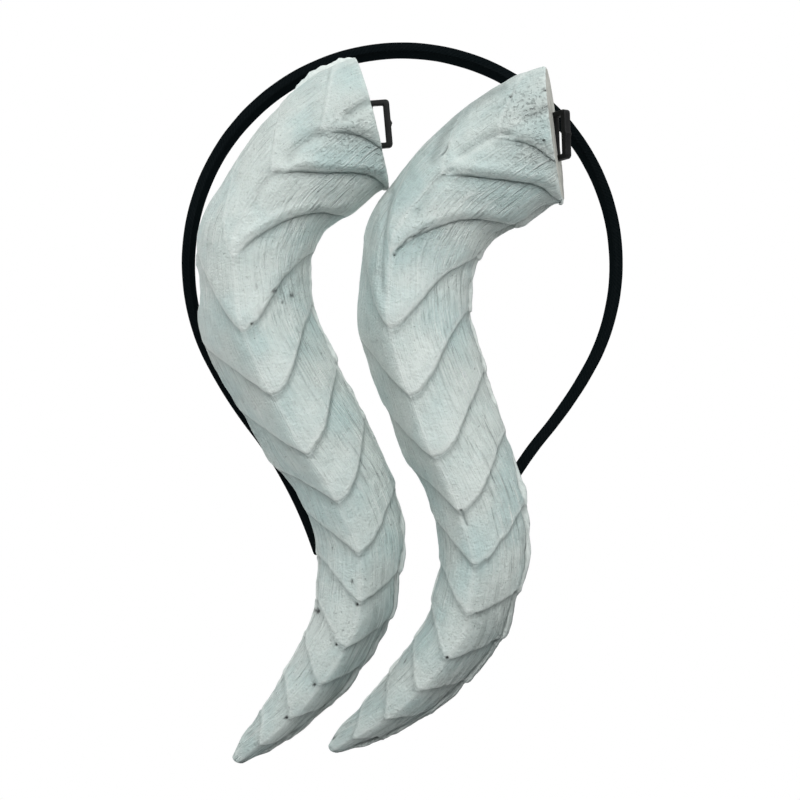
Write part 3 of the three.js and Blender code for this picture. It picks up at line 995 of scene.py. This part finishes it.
class HornSkin:
    """The skin of one horn in its own frame, in millimetres: rows along it and columns round it."""

    def __init__(self, horn, sizes, stage):
        self.horn = horn
        self.sizes = sizes
        self.side, self.front = horn_columns()
        self.away = np.abs(self.side)
        self.place, share, self.number = horn_rows(self.side, horn.seed)
        self.share = share[:, None]
        self.level = self.number[:, None] * LEVEL_STEP + horn.seed
        section = section_at(self.place)
        girth = GIRTH * np.hypot(half_width(section), section.rise)
        self.around = girth * np.where(self.front, self.side, np.sign(self.side) * (2 - self.away))
        self.size = np.minimum(1, half_width(section) / FULL_HALF_WIDTH)
        plain = skin_points(self.place, self.share, self.side, self.front, 0)
        self.run, self.from_foot, self.to_edge = scale_edges(plain, self.number)
        self.outer_half = smooth(self.side, *OUTER_HALF)
        self.outer_flank = smooth(self.side, *OUTER_FLANK)
        self.scale, self.scale_before = scale_values(self.number + 1), scale_values(self.number)
        self.shown = mix(1, self.scale.outer_lift, self.outer_half)
        self.shown_before = mix(1, self.scale_before.outer_lift, self.outer_half)
        lift = self.scale_lift() * self.lift_left()
        self.points = skin_points(self.place, self.share, self.side, self.front, lift)
        self.rim_gap = rim_distance(self.points)
        self.pixels = picture_places(placed(horn_matrix(horn), self.points), stage)
        self.pixel = SENSOR * stage.height / MM / (stage.lens * PICTURE)

    def scale_lift(self):
        """A slow rise to a swollen edge, a rounded drop to the next scale and a thin groove in it."""
        full, groove = self.sizes.lift / MM, self.sizes.groove / MM
        wider = mix(1, OUTER_SOFT, self.outer_flank)
        drop = (1 + np.tanh(self.to_edge / (self.scale.soft * wider) + LIP)) / 2
        rest = (1 - np.tanh(self.from_foot / (self.scale_before.soft * wider) - LIP)) / 2
        rise = full * (1 - (1 - self.share) ** RISE_POWER) + self.scale.swell * SWELL.at(self.to_edge)
        dip = self.scale_before.swell * DIP_OF_SWELL + DIP_INNER * (1 - self.outer_half)
        nearer = np.where(self.from_foot < self.to_edge, self.shown_before, self.shown)
        lift = rise * drop * self.shown + (full * rest - dip * DIP.at(self.from_foot)) * self.shown_before
        return lift - groove * GROOVE.at(np.minimum(self.from_foot, self.to_edge)) * nearer

    def lift_left(self):
        """Share of the lift that is left at each point."""
        face = mix(1, LIFT_NEAR_SIDE, self.away) * np.where(self.front, 1, LIFT_ON_BACK)
        at_side = mix(*LIFT_AT_SIDE, smooth(self.place, *LIFT_CHANGE))
        return self.size * mix(face, at_side, self.away ** SIDE_POWER)

    def lump(self, lump, shift):
        x, y, z = np.moveaxis(self.points, -1, 0) / lump.size
        return lump.share * noise_at(x, y, z + shift)

    def line(self, line):
        across, along = self.around / line.across, self.run / line.along
        return line.share * noise_at(across, along, self.level + line.shift)

    def rim_wave(self, wave):
        hand = np.sign(self.side) * SIDE_STEP
        return wave.height * noise_at(self.run / wave.length, hand, self.level + wave.shift)

    def brushed(self):
        """How brushed the paint is."""
        flank = mix(BRUSHED_OUTER_SHARE, 1, smooth(-self.side, *BRUSHED_INNER))
        streaky = flank * smooth(self.away, *BRUSHED_FLANK) + BRUSHED_FOOT * (1 - self.share)
        near_base = mix(BRUSHED_BASE_SHARE, 1, smooth(self.place, *BRUSHED_START))
        return np.clip(streaky, 0, 1) * near_base * self.front

    def uneven(self, brushed):
        """Height of the lumps of the cast and the finer lines along it."""
        lumps = sum(self.lump(lump, self.horn.seed) for lump in LUMPS)
        lines = sum(self.line(line) for line in LINES) * (LINES_LEAST + brushed)
        height = self.sizes.lumps / MM * lumps + self.sizes.streaks / MM * lines
        return height * np.where(self.front, 1, BACK_SHOWS)

    def flash(self):
        """Width of the flash at the sides, and how far it stands out there."""
        ragged = FLASH_MEAN + sum(self.rim_wave(wave) for wave in FLASH_WAVES)
        ragged = np.clip(ragged, 0, FLASH_MOST)
        width, out = np.zeros_like(self.run), np.zeros_like(self.run)
        for row in FLASHES[self.horn.node]:
            rise = (row.start - FLASH_END, row.start + FLASH_END)
            fall = (row.end - FLASH_END, row.end + FLASH_END)
            here = row.width * between(self.place, rise, fall) * (self.side * row.side > 0)
            width = width + here * ragged
            out = out + here * row.out * ragged
        return width, out

    def rims(self, width, out):
        """Height of the flash and of the wavering rims, with the skin cut back behind the flash."""
        sheet = np.exp(-(self.rim_gap / SHEET) ** SHEET_POWER)
        cut_back = (1 - sheet) * CUT_BACK.at(self.rim_gap)
        return out * sheet - (width - out) * cut_back + self.rim_wave(RIM_WAVE) * RIM_WAVER.at(self.rim_gap)

    def base_edge(self):
        """How much of the base's edge is worn bare, and how deep."""
        behind = -placed(base_matrix().inverted(), self.points)[..., 0]
        worn = BASE_EDGE * (1 + self.lump(BASE_WEAR, self.level))
        bared = np.clip(1 - behind / worn, 0, 1)
        return bared, worn * (1 - np.sqrt(1 - bared * bared))

    def hollow(self):
        """Share of the hollow beside the ridge, on the flank that falls away below each scale's point."""
        change = smooth(self.place, *STEEP_CHANGE)
        steep = np.where(self.side > 0, 1 - change, change) * self.front
        open_here = (1 - self.share) ** HOLLOW_POWER * smooth(self.place, *HOLLOW_START)
        return HOLLOW.at(self.away) * open_here * steep

    def folds(self):
        """Depth of the folds, and the painted shade in them."""
        depth, wash_and_shade = np.zeros_like(self.run), np.zeros_like(self.run)
        for fold in FOLDS[self.horn.node]:
            gap = line_distance(self.pixels, fold.places) * self.pixel
            near = Band(1, 0, fold.width).at(gap) * self.front
            depth = depth + fold.depth * near
            # Painted shade deep in a fold.
            wash_and_shade = wash_and_shade + fold.dark * near ** FOLD_SHADE_POWER
        return depth, wash_and_shade

    def pits(self):
        """Share of the pits' depth."""
        pit = np.zeros_like(self.run)
        for hole in PITS[self.horn.node]:
            gap = np.linalg.norm(self.pixels - (hole.x, hole.y), axis=-1) * self.pixel
            pit = np.maximum(pit, np.exp(-(gap / hole.radius) ** PIT_POWER) * self.front)
        return pit

    def porous(self):
        """How porous the cast is."""
        porous = np.zeros_like(self.run)
        for patch in PATCHES[self.horn.node]:
            gap = np.linalg.norm(self.pixels - (patch.x, patch.y), axis=-1)
            porous = np.maximum(porous, Band(patch.strength, 0, patch.radius).at(gap) * self.front)
        return porous

    def crease(self, hollow, seam):
        """How much dark wash and painted shade lies outside the folds."""
        # Wash and painted shade at a scale's foot and along its edge.
        foot = FOOT_WASH_AND_SHADE.at(self.from_foot) + FOOT_SHADE.at(self.from_foot)
        edges = foot * self.shown_before + EDGE_WASH_AND_SHADE.at(self.to_edge) * self.shown
        edges = edges * mix(1, OUTER_WASH_AND_SHADE, self.outer_flank) * (self.number[:, None] > 0)
        chips = smooth(noise_at(self.run / CHIP_LENGTH, self.side, self.level + CHIP_SHIFT), *CHIP_RANGE)
        # Painted shade under the flash at the inner rim and in the groove behind the sheet.
        seam_shade = RIM_SHADE.at(self.rim_gap) * (self.side < 0) + SEAM_SHADE.at(self.rim_gap)
        seam_shade = seam_shade * seam * mix(CHIP_LEAST, 1, chips)
        # Painted shade on the inner flank of the last scales, partly in streaks of darker paint.
        flank_shade = mix(FLANK_SHADE_LEAST, 1, smooth(self.line(SHADE_STREAKS), *SHADE_STREAK_RANGE))
        flank_shade = flank_shade * smooth(-self.side, *SHADED_FLANK) * smooth(self.place, *FLANK_SHADE_START)
        # Darker on the ridge and outer flank near the base.
        base_darkening = BASE_DARKENING * smooth(self.side, *BASE_DARKENING_FLANK) * (1 - smooth(self.place, *BASE_DARKENING_END))
        return edges + HOLLOW_SHADE * hollow + seam_shade + flank_shade + base_darkening

    def rubbed_and_highlight(self, seam, bared):
        """How far the paint is made pale: rubbed, and painted highlight."""
        # Rubbed paint and painted highlight behind a scale's edge and on the ridge.
        edges = EDGE_RUB_AND_HIGHLIGHT.at(self.to_edge) + RIDGE_RUB_AND_HIGHLIGHT.at(self.around) * self.front
        # Painted highlight on the faces of the scales and on the outer flank of the upper bend.
        faces = between(self.place, FACE_START, FACE_END) * smooth(self.share, *FACE_SHARE) * self.front
        bend = between(self.place, BEND_START, BEND_END) * smooth(self.side, *BEND_FLANK) * self.front
        # Painted highlight on the sheet of the flash, and the base's edge rubbed bare.
        worn = SEAM_HIGHLIGHT.at(self.rim_gap) * seam + BASE_RUB * bared
        return edges + worn + faces * FACE_HIGHLIGHT.at(self.side) + BEND_HIGHLIGHT * bend

    def finished(self):
        """The skin's points, its map, and the values that its paint reads."""
        brushed, hollow, pit = self.brushed(), self.hollow(), self.pits()
        width, out = self.flash()
        seam = np.minimum(1, width / SEAM_WIDTH)
        bared, wear = self.base_edge()
        fold_depth, fold_shade = self.folds()
        push = self.uneven(brushed) + self.rims(width, out) - wear - fold_depth
        push = push - HOLLOW_DEPTH * self.size * hollow - PIT_DEPTH * pit
        values = {
            "crease": self.crease(hollow, seam) + fold_shade,
            "rubbed_and_highlight": self.rubbed_and_highlight(seam, bared),
            "pit": pit,
            "porous": self.porous(),
            "brushed": brushed,
        }
        values = {key: np.clip(rows, 0, 1) for key, rows in values.items()}
        points = self.points + outward(self.points) * push[..., None]
        return points, np.stack((np.broadcast_to(self.around, self.run.shape), self.run), -1), values


def with_nose(points, skin, values):
    """The grid with a round nose added after its last row."""
    last = points[-1]
    middle = last[:-1].mean(axis=0)
    before = points[-NOSE_LOOK_BACK][:-1].mean(axis=0)
    ahead = (middle - before) / np.linalg.norm(middle - before)
    nose = []
    for step in range(1, NOSE_ROWS + 1):
        angle = math.pi / 2 * step / NOSE_ROWS
        nose.append(middle + (last - middle) * math.cos(angle) + ahead * NOSE * math.sin(angle))
    longer = lambda rows: np.concatenate((rows, np.repeat(rows[-1:], NOSE_ROWS, axis=0)))
    return np.concatenate((points, nose)), longer(skin), {key: longer(rows) for key, rows in values.items()}


def grid_mesh(points, skin, values):
    """A bmesh grid laid on rows of points in metres, with a UV map and point attributes."""
    rows, columns = points.shape[:2]
    bm = bmesh.new()
    bmesh.ops.create_grid(bm, x_segments=columns - 1, y_segments=rows - 1, size=0.5)
    layers = {key: bm.verts.layers.float.new(key) for key in values}
    uv = bm.loops.layers.uv.new("skin")
    for vert, place in zip(bm.verts, points.reshape(-1, 3).tolist()):
        vert.co = place
    for key, layer in layers.items():
        for vert, value in zip(bm.verts, values[key].ravel().tolist()):
            vert[layer] = value
    skin = skin.reshape(-1, 2).tolist()
    bm.verts.index_update()
    for face in bm.faces:
        face.smooth = True
        for loop in face.loops:
            loop[uv].uv = skin[loop.vert.index]
    return bm


def close_seam(bm):
    """Joins the first and last columns of a grid, and returns the edges that are still open."""
    bmesh.ops.remove_doubles(bm, verts=[vert for vert in bm.verts if vert.is_boundary], dist=SAME_PLACE)
    return [edge for edge in bm.edges if edge.is_boundary]


def make_piece(bm, name, node, materials):
    """Turns a bmesh into a piece that stands for a node of the frame."""
    mesh = bpy.data.meshes.new(name)
    bm.to_mesh(mesh)
    bm.free()
    for material in materials:
        mesh.materials.append(material)
    piece = bpy.data.objects.new(name, mesh)
    bpy.context.scene.collection.objects.link(piece)
    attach(piece, ROOT)
    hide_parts(node)


class HornsOperator(bpy.types.Operator):
    """Makes the two cast horns"""

    bl_idname = "horn_headband.horns"
    bl_label = "Horns"

    def execute(self, context):
        sizes = context.scene.horn_headband.horns
        stage = context.scene.horn_headband.stage
        materials = (horn_paint(sizes), bare_foam(sizes))
        for horn in HORNS:
            self.make(horn, sizes, stage, materials)
        return {"FINISHED"}

    def make(self, horn, sizes, stage, materials):
        points, skin, values = with_nose(*HornSkin(horn, sizes, stage).finished())
        matrix = horn_matrix(horn)
        bm = grid_mesh(placed(matrix, points) * MM, skin, values)
        close_seam(bm)
        base = matrix @ base_matrix()
        geometry = bm.verts[:] + bm.edges[:] + bm.faces[:]
        bmesh.ops.bisect_plane(
            bm, geom=geometry, plane_co=base.translation * MM, plane_no=base.col[0].xyz, clear_outer=True)
        rim = [edge for edge in bm.edges if edge.is_boundary]
        if not rim:
            raise RuntimeError("the base of " + horn.node + " has no rim to close")
        closed = bmesh.ops.holes_fill(bm, edges=rim, sides=0)
        for face in closed["faces"]:
            face.material_index = 1
            face.smooth = False
        for edge in rim:
            edge.smooth = False
        bmesh.ops.recalc_face_normals(bm, faces=bm.faces)
        make_piece(bm, horn.node + "_cast", horn.node, materials)


# Half of the hoop from the crown to a tip: radius of the middle line in millimetres and turn in degrees.
# A negative turn bends outwards, which flares the tips.
Stretch = namedtuple("Stretch", "radius turn")
STRETCHES = (
    Stretch(62.75, 118.5),
    Stretch(131, 10),
    Stretch(115, -20.7),
)

# Lengths along the hoop in millimetres: between rows, over which it thins to its tips, and over which a tip
# is rounded across the strip and through it. At its end a tip has the least share of the width and thickness.
HOOP_PITCH = 1
HOOP_TAPER = 70
HOOP_TONGUE, TONGUE_LEAST = 4, 0.3
HOOP_NOSE, NOSE_LEAST = 1, 0.25
TONGUE_ROWS = 14

# The strip's section and the number of points round it. The corner is a power: 1 makes the section an oval
# and 0 a box.
HOOP_CORNER = 0.25
HOOP_AROUND = 48

# The cloth's edge in millimetres below the top and above the bottom, where it wears and a painted highlight
# lies,
# and its ripples: their height, and their size along and up the strip.
CLOTH_EDGE = Band(1, -0.3, 0.5)
RIPPLE = 0.06
RIPPLE_ALONG, RIPPLE_UP = 6, 3


def stretch_length(stretch):
    return stretch.radius * math.radians(abs(stretch.turn))


HOOP_HALF = sum(stretch_length(stretch) for stretch in STRETCHES)


def hoop_at(distance, thick):
    """Middle line of half the hoop: place and heading at a distance from the crown."""
    x, y, heading = 0, -thick / 2, 0
    for stretch in STRETCHES:
        step = min(distance, stretch_length(stretch))
        radius = math.copysign(stretch.radius, stretch.turn)
        ahead = heading - step / radius
        x += radius * (math.sin(heading) - math.sin(ahead))
        y += radius * (math.cos(ahead) - math.cos(heading))
        heading = ahead
        distance -= step
    return x, y, heading


def tip_round(left, length, least):
    """A quarter circle that falls to a least share over the last stretch before a tip."""
    gone = 1 - min(1, left / length)
    return mix(least, 1, math.sqrt(max(0, 1 - gone * gone)))


def strip_section(thick, width):
    """Outline of the strip's section with soft corners, as arrays of across and up."""
    angle = np.linspace(0, 2 * math.pi, HOOP_AROUND + 1)
    squared = lambda wave: np.sign(wave) * np.abs(wave) ** HOOP_CORNER
    return thick / 2 * squared(np.cos(angle)), width / 2 * squared(np.sin(angle))


class HoopOperator(bpy.types.Operator):
    """Makes the cloth covered hoop"""

    bl_idname = "horn_headband.hoop"
    bl_label = "Hoop"

    def execute(self, context):
        sizes = context.scene.horn_headband.hoop
        thick, width = sizes.thick / MM, sizes.width / MM
        count = round(2 * HOOP_HALF / HOOP_PITCH)
        even = np.linspace(-HOOP_HALF, HOOP_HALF, count)
        fine = HOOP_HALF - HOOP_TONGUE * (1 - np.sin(np.linspace(0, math.pi / 2, TONGUE_ROWS)))
        inner = even[np.abs(even) < HOOP_HALF - HOOP_TONGUE]
        stations = np.concatenate((-fine[::-1], inner, fine))
        rows, skin, edges = [], [], []
        for station in stations:
            x, y, heading = hoop_at(abs(station), thick)
            hand = math.copysign(1, station)
            left = HOOP_HALF - abs(station)
            full = mix(sizes.tip_thick / MM, thick, min(1, left / HOOP_TAPER))
            across, up = strip_section(
                full * tip_round(left, HOOP_NOSE, NOSE_LEAST),
                width * tip_round(left, HOOP_TONGUE, TONGUE_LEAST))
            rows.append(np.stack((
                hand * (x - across * math.sin(heading)),
                y + across * math.cos(heading),
                width / 2 + up), -1))
            run = np.concatenate(([0], np.cumsum(np.hypot(np.diff(across), np.diff(up)))))
            skin.append(np.stack((np.full(len(run), station), run), -1))
            edges.append(CLOTH_EDGE.at(np.abs(up) - width / 2))
        points = np.array(rows)
        x, y, z = np.moveaxis(points, -1, 0)
        ripple = RIPPLE * noise_at(x / RIPPLE_ALONG, y / RIPPLE_ALONG, z / RIPPLE_UP)
        points = points + ripple[..., None] * outward(points)
        bm = grid_mesh((points + CROWN) * MM, np.array(skin), {"edge": np.array(edges)})
        bmesh.ops.holes_fill(bm, edges=close_seam(bm), sides=0)
        bmesh.ops.recalc_face_normals(bm, faces=bm.faces)
        make_piece(bm, "hoop_wrap", "headband", (hoop_cloth(sizes),))
        return {"FINISHED"}


# Lines of the buckle's plate in millimetres. Out of the base: back of the tab, back of the plate, the slot's
# two sides, and the front. Along it: ends of the plate, ends of the slot, and the nub and its two feet. The
# nub stands out, and the plate's front corners have a radius.
BUCKLE_OUT = (-6, -1.4, 0.6, 3.6, 5.4)
BUCKLE_ALONG = (-6.9, -5.4, -1, 0, 1, 5.4, 6.9)
_, PLATE_BACK, SLOT_BACK, SLOT_FRONT, _ = BUCKLE_OUT
SLOT_END = BUCKLE_ALONG[-2]
BUCKLE_NUB = 0.4
BUCKLE_ROUND = 1.1

# Angles between faces, in radians, past which an edge is rounded, and past which it is drawn sharp.
ROUNDED_ANGLE = 0.9
SHARP_ANGLE = 0.6


class BucklesOperator(bpy.types.Operator):
    """Makes the slotted buckle in each horn's base"""

    bl_idname = "horn_headband.buckles"
    bl_label = "Buckles"

    def execute(self, context):
        sizes = context.scene.horn_headband.buckles
        plastic = buckle_plastic(sizes)
        for horn in HORNS:
            bm = self.plate(sizes)
            seat = base_matrix(horn.buckle_turn, horn.buckle_tilt)
            bm.transform(Matrix.Scale(MM, 4) @ horn_matrix(horn) @ seat)
            make_piece(bm, horn.buckle + "_plate", horn.buckle, (plastic,))
        return {"FINISHED"}

    def plate(self, sizes):
        """A plate with one slot, a tab behind it and a small nub in front."""
        bm = bmesh.new()
        columns, rows = len(BUCKLE_OUT), len(BUCKLE_ALONG)
        bmesh.ops.create_grid(bm, x_segments=columns - 1, y_segments=rows - 1, size=0.5)
        for number, vert in enumerate(bm.verts):
            row, column = divmod(number, columns)
            nub = BUCKLE_NUB if BUCKLE_ALONG[row] == 0 and column == columns - 1 else 0
            vert.co = (BUCKLE_OUT[column] + nub, BUCKLE_ALONG[row], -sizes.thick / MM / 2)
        gone = []
        for face in bm.faces:
            x, y, _ = face.calc_center_median()
            in_slot = SLOT_BACK < x < SLOT_FRONT and abs(y) < SLOT_END
            beside_tab = x < PLATE_BACK and abs(y) > SLOT_END
            if in_slot or beside_tab:
                gone.append(face)
        bmesh.ops.delete(bm, geom=gone, context="FACES")
        raised = bmesh.ops.extrude_face_region(bm, geom=bm.faces[:], use_keep_orig=True)
        top = [part for part in raised["geom"] if isinstance(part, bmesh.types.BMVert)]
        bmesh.ops.translate(bm, verts=top, vec=(0, 0, sizes.thick / MM))
        bmesh.ops.recalc_face_normals(bm, faces=bm.faces)
        corners = []
        for edge in bm.edges:
            low, high = sorted((vert.co for vert in edge.verts), key=lambda place: place.z)
            upright = high.z - low.z > sizes.thick / MM / 2
            if upright and low.x > SLOT_FRONT and abs(low.y) > (SLOT_END + BUCKLE_ALONG[-1]) / 2:
                corners.append(edge)
        bmesh.ops.bevel(
            bm, geom=corners, offset=BUCKLE_ROUND, segments=5, profile=0.5, affect="EDGES", material=-1)
        sharp = [edge for edge in bm.edges if edge.is_manifold and edge.calc_face_angle() > ROUNDED_ANGLE]
        bmesh.ops.bevel(
            bm, geom=sharp, offset=sizes.edge / MM, segments=3, profile=0.5, affect="EDGES", material=-1)
        bmesh.ops.remove_doubles(bm, verts=bm.verts, dist=SAME_PLACE / MM)
        for face in bm.faces:
            face.smooth = True
        for edge in bm.edges:
            edge.smooth = not edge.is_manifold or edge.calc_face_angle() < SHARP_ANGLE
        return bm


# The floor, in metres: half its width, the low wall round it and how far it lies below the object.
FLOOR_HALF = 3
FLOOR_WALL = 0.6
FLOOR_GAP = 0.0002

# Round soft lights that point at the object: their places in metres, their power in watts, and their width.
Light = namedtuple("Light", "name place watts")
LIGHTS = (
    Light("key_right", (0.545, 0.545, 0.92), 6.8),
    Light("key_left", (-0.545, 0.545, 0.92), 6.2),
    Light("back", (0, 0.77, 0.92), 3.1),
    Light("front", (-0.3, -1, 0.5), 1),
)
LIGHT_SIZE = 0.7


class StageOperator(bpy.types.Operator):
    """Sets the camera, the floor and the lights"""

    bl_idname = "horn_headband.stage"
    bl_label = "Stage"

    def execute(self, context):
        scene = context.scene
        sizes = scene.horn_headband.stage
        scene.view_settings.view_transform = "Standard"
        camera = bpy.data.cameras.new("camera")
        camera.sensor_width = SENSOR
        camera.lens = sizes.lens
        eye = bpy.data.objects.new("camera", camera)
        eye.location = Vector(CROWN * MM) + Vector((0, -CAMERA_BACK * MM, sizes.height))
        eye.rotation_euler = (0, 0, sizes.turn)
        scene.collection.objects.link(eye)
        scene.camera = eye
        self.floor(scene, sizes)
        for light in LIGHTS:
            self.light(scene, light)
        world = bpy.data.worlds.new("studio")
        world.use_nodes = True
        sky = world.node_tree.nodes["Background"].inputs
        sky["Color"].default_value = tuple(sizes.sky)
        sky["Strength"].default_value = sizes.sky_strength
        scene.world = world
        return {"FINISHED"}

    def floor(self, scene, sizes):
        bm = bmesh.new()
        bmesh.ops.create_grid(bm, x_segments=1, y_segments=1, size=FLOOR_HALF)
        wall = bmesh.ops.extrude_edge_only(bm, edges=bm.edges[:])
        top = [part for part in wall["geom"] if isinstance(part, bmesh.types.BMVert)]
        bmesh.ops.translate(bm, verts=top, vec=(0, 0, FLOOR_WALL))
        mesh = bpy.data.meshes.new("floor")
        bm.to_mesh(mesh)
        bm.free()
        paper = Shader(
            "floor_paper", Base_Color=(0, 0, 0, 1), Roughness=1, Specular_IOR_Level=0,
            Emission_Color=tuple(sizes.floor), Emission_Strength=1)
        mesh.materials.append(paper.material)
        floor = bpy.data.objects.new("floor", mesh)
        floor.location.z = CAD_BOX[0].z - FLOOR_GAP
        scene.collection.objects.link(floor)

    def light(self, scene, light):
        lamp = bpy.data.lights.new(light.name, "AREA")
        lamp.shape = "DISK"
        lamp.size = LIGHT_SIZE
        lamp.energy = light.watts
        lit = bpy.data.objects.new(light.name, lamp)
        lit.location = light.place
        lit.rotation_euler = (-Vector(light.place)).to_track_quat("-Z", "Y").to_euler()
        scene.collection.objects.link(lit)


OPERATORS = (HoopOperator, HornsOperator, BucklesOperator, StageOperator)


class HeadbandPanel(bpy.types.Panel):
    """Lists the pieces and their sizes"""

    bl_idname = "VIEW3D_PT_horn_headband"
    bl_label = "Devil Horns Headband"
    bl_space_type = "VIEW_3D"
    bl_region_type = "UI"
    bl_category = "Horns"

    def draw(self, context):
        sizes = context.scene.horn_headband
        for operator, group in zip(OPERATORS, (sizes.hoop, sizes.horns, sizes.buckles, sizes.stage)):
            box = self.layout.box()
            box.operator(operator.bl_idname)
            for key in group.__annotations__:
                box.prop(group, key)


CLASSES = (HornSizes, HoopSizes, BuckleSizes, StageSizes, HeadbandSizes, *OPERATORS, HeadbandPanel)


def register():
    for cls in CLASSES:
        bpy.utils.register_class(cls)
    bpy.types.Scene.horn_headband = PointerProperty(type=HeadbandSizes)


def unregister():
    del bpy.types.Scene.horn_headband
    for cls in reversed(CLASSES):
        bpy.utils.unregister_class(cls)


def main():
    register()
    bpy.ops.horn_headband.hoop()
    bpy.ops.horn_headband.horns()
    bpy.ops.horn_headband.buckles()
    bpy.ops.horn_headband.stage()


if __name__ == "__main__":
    main()
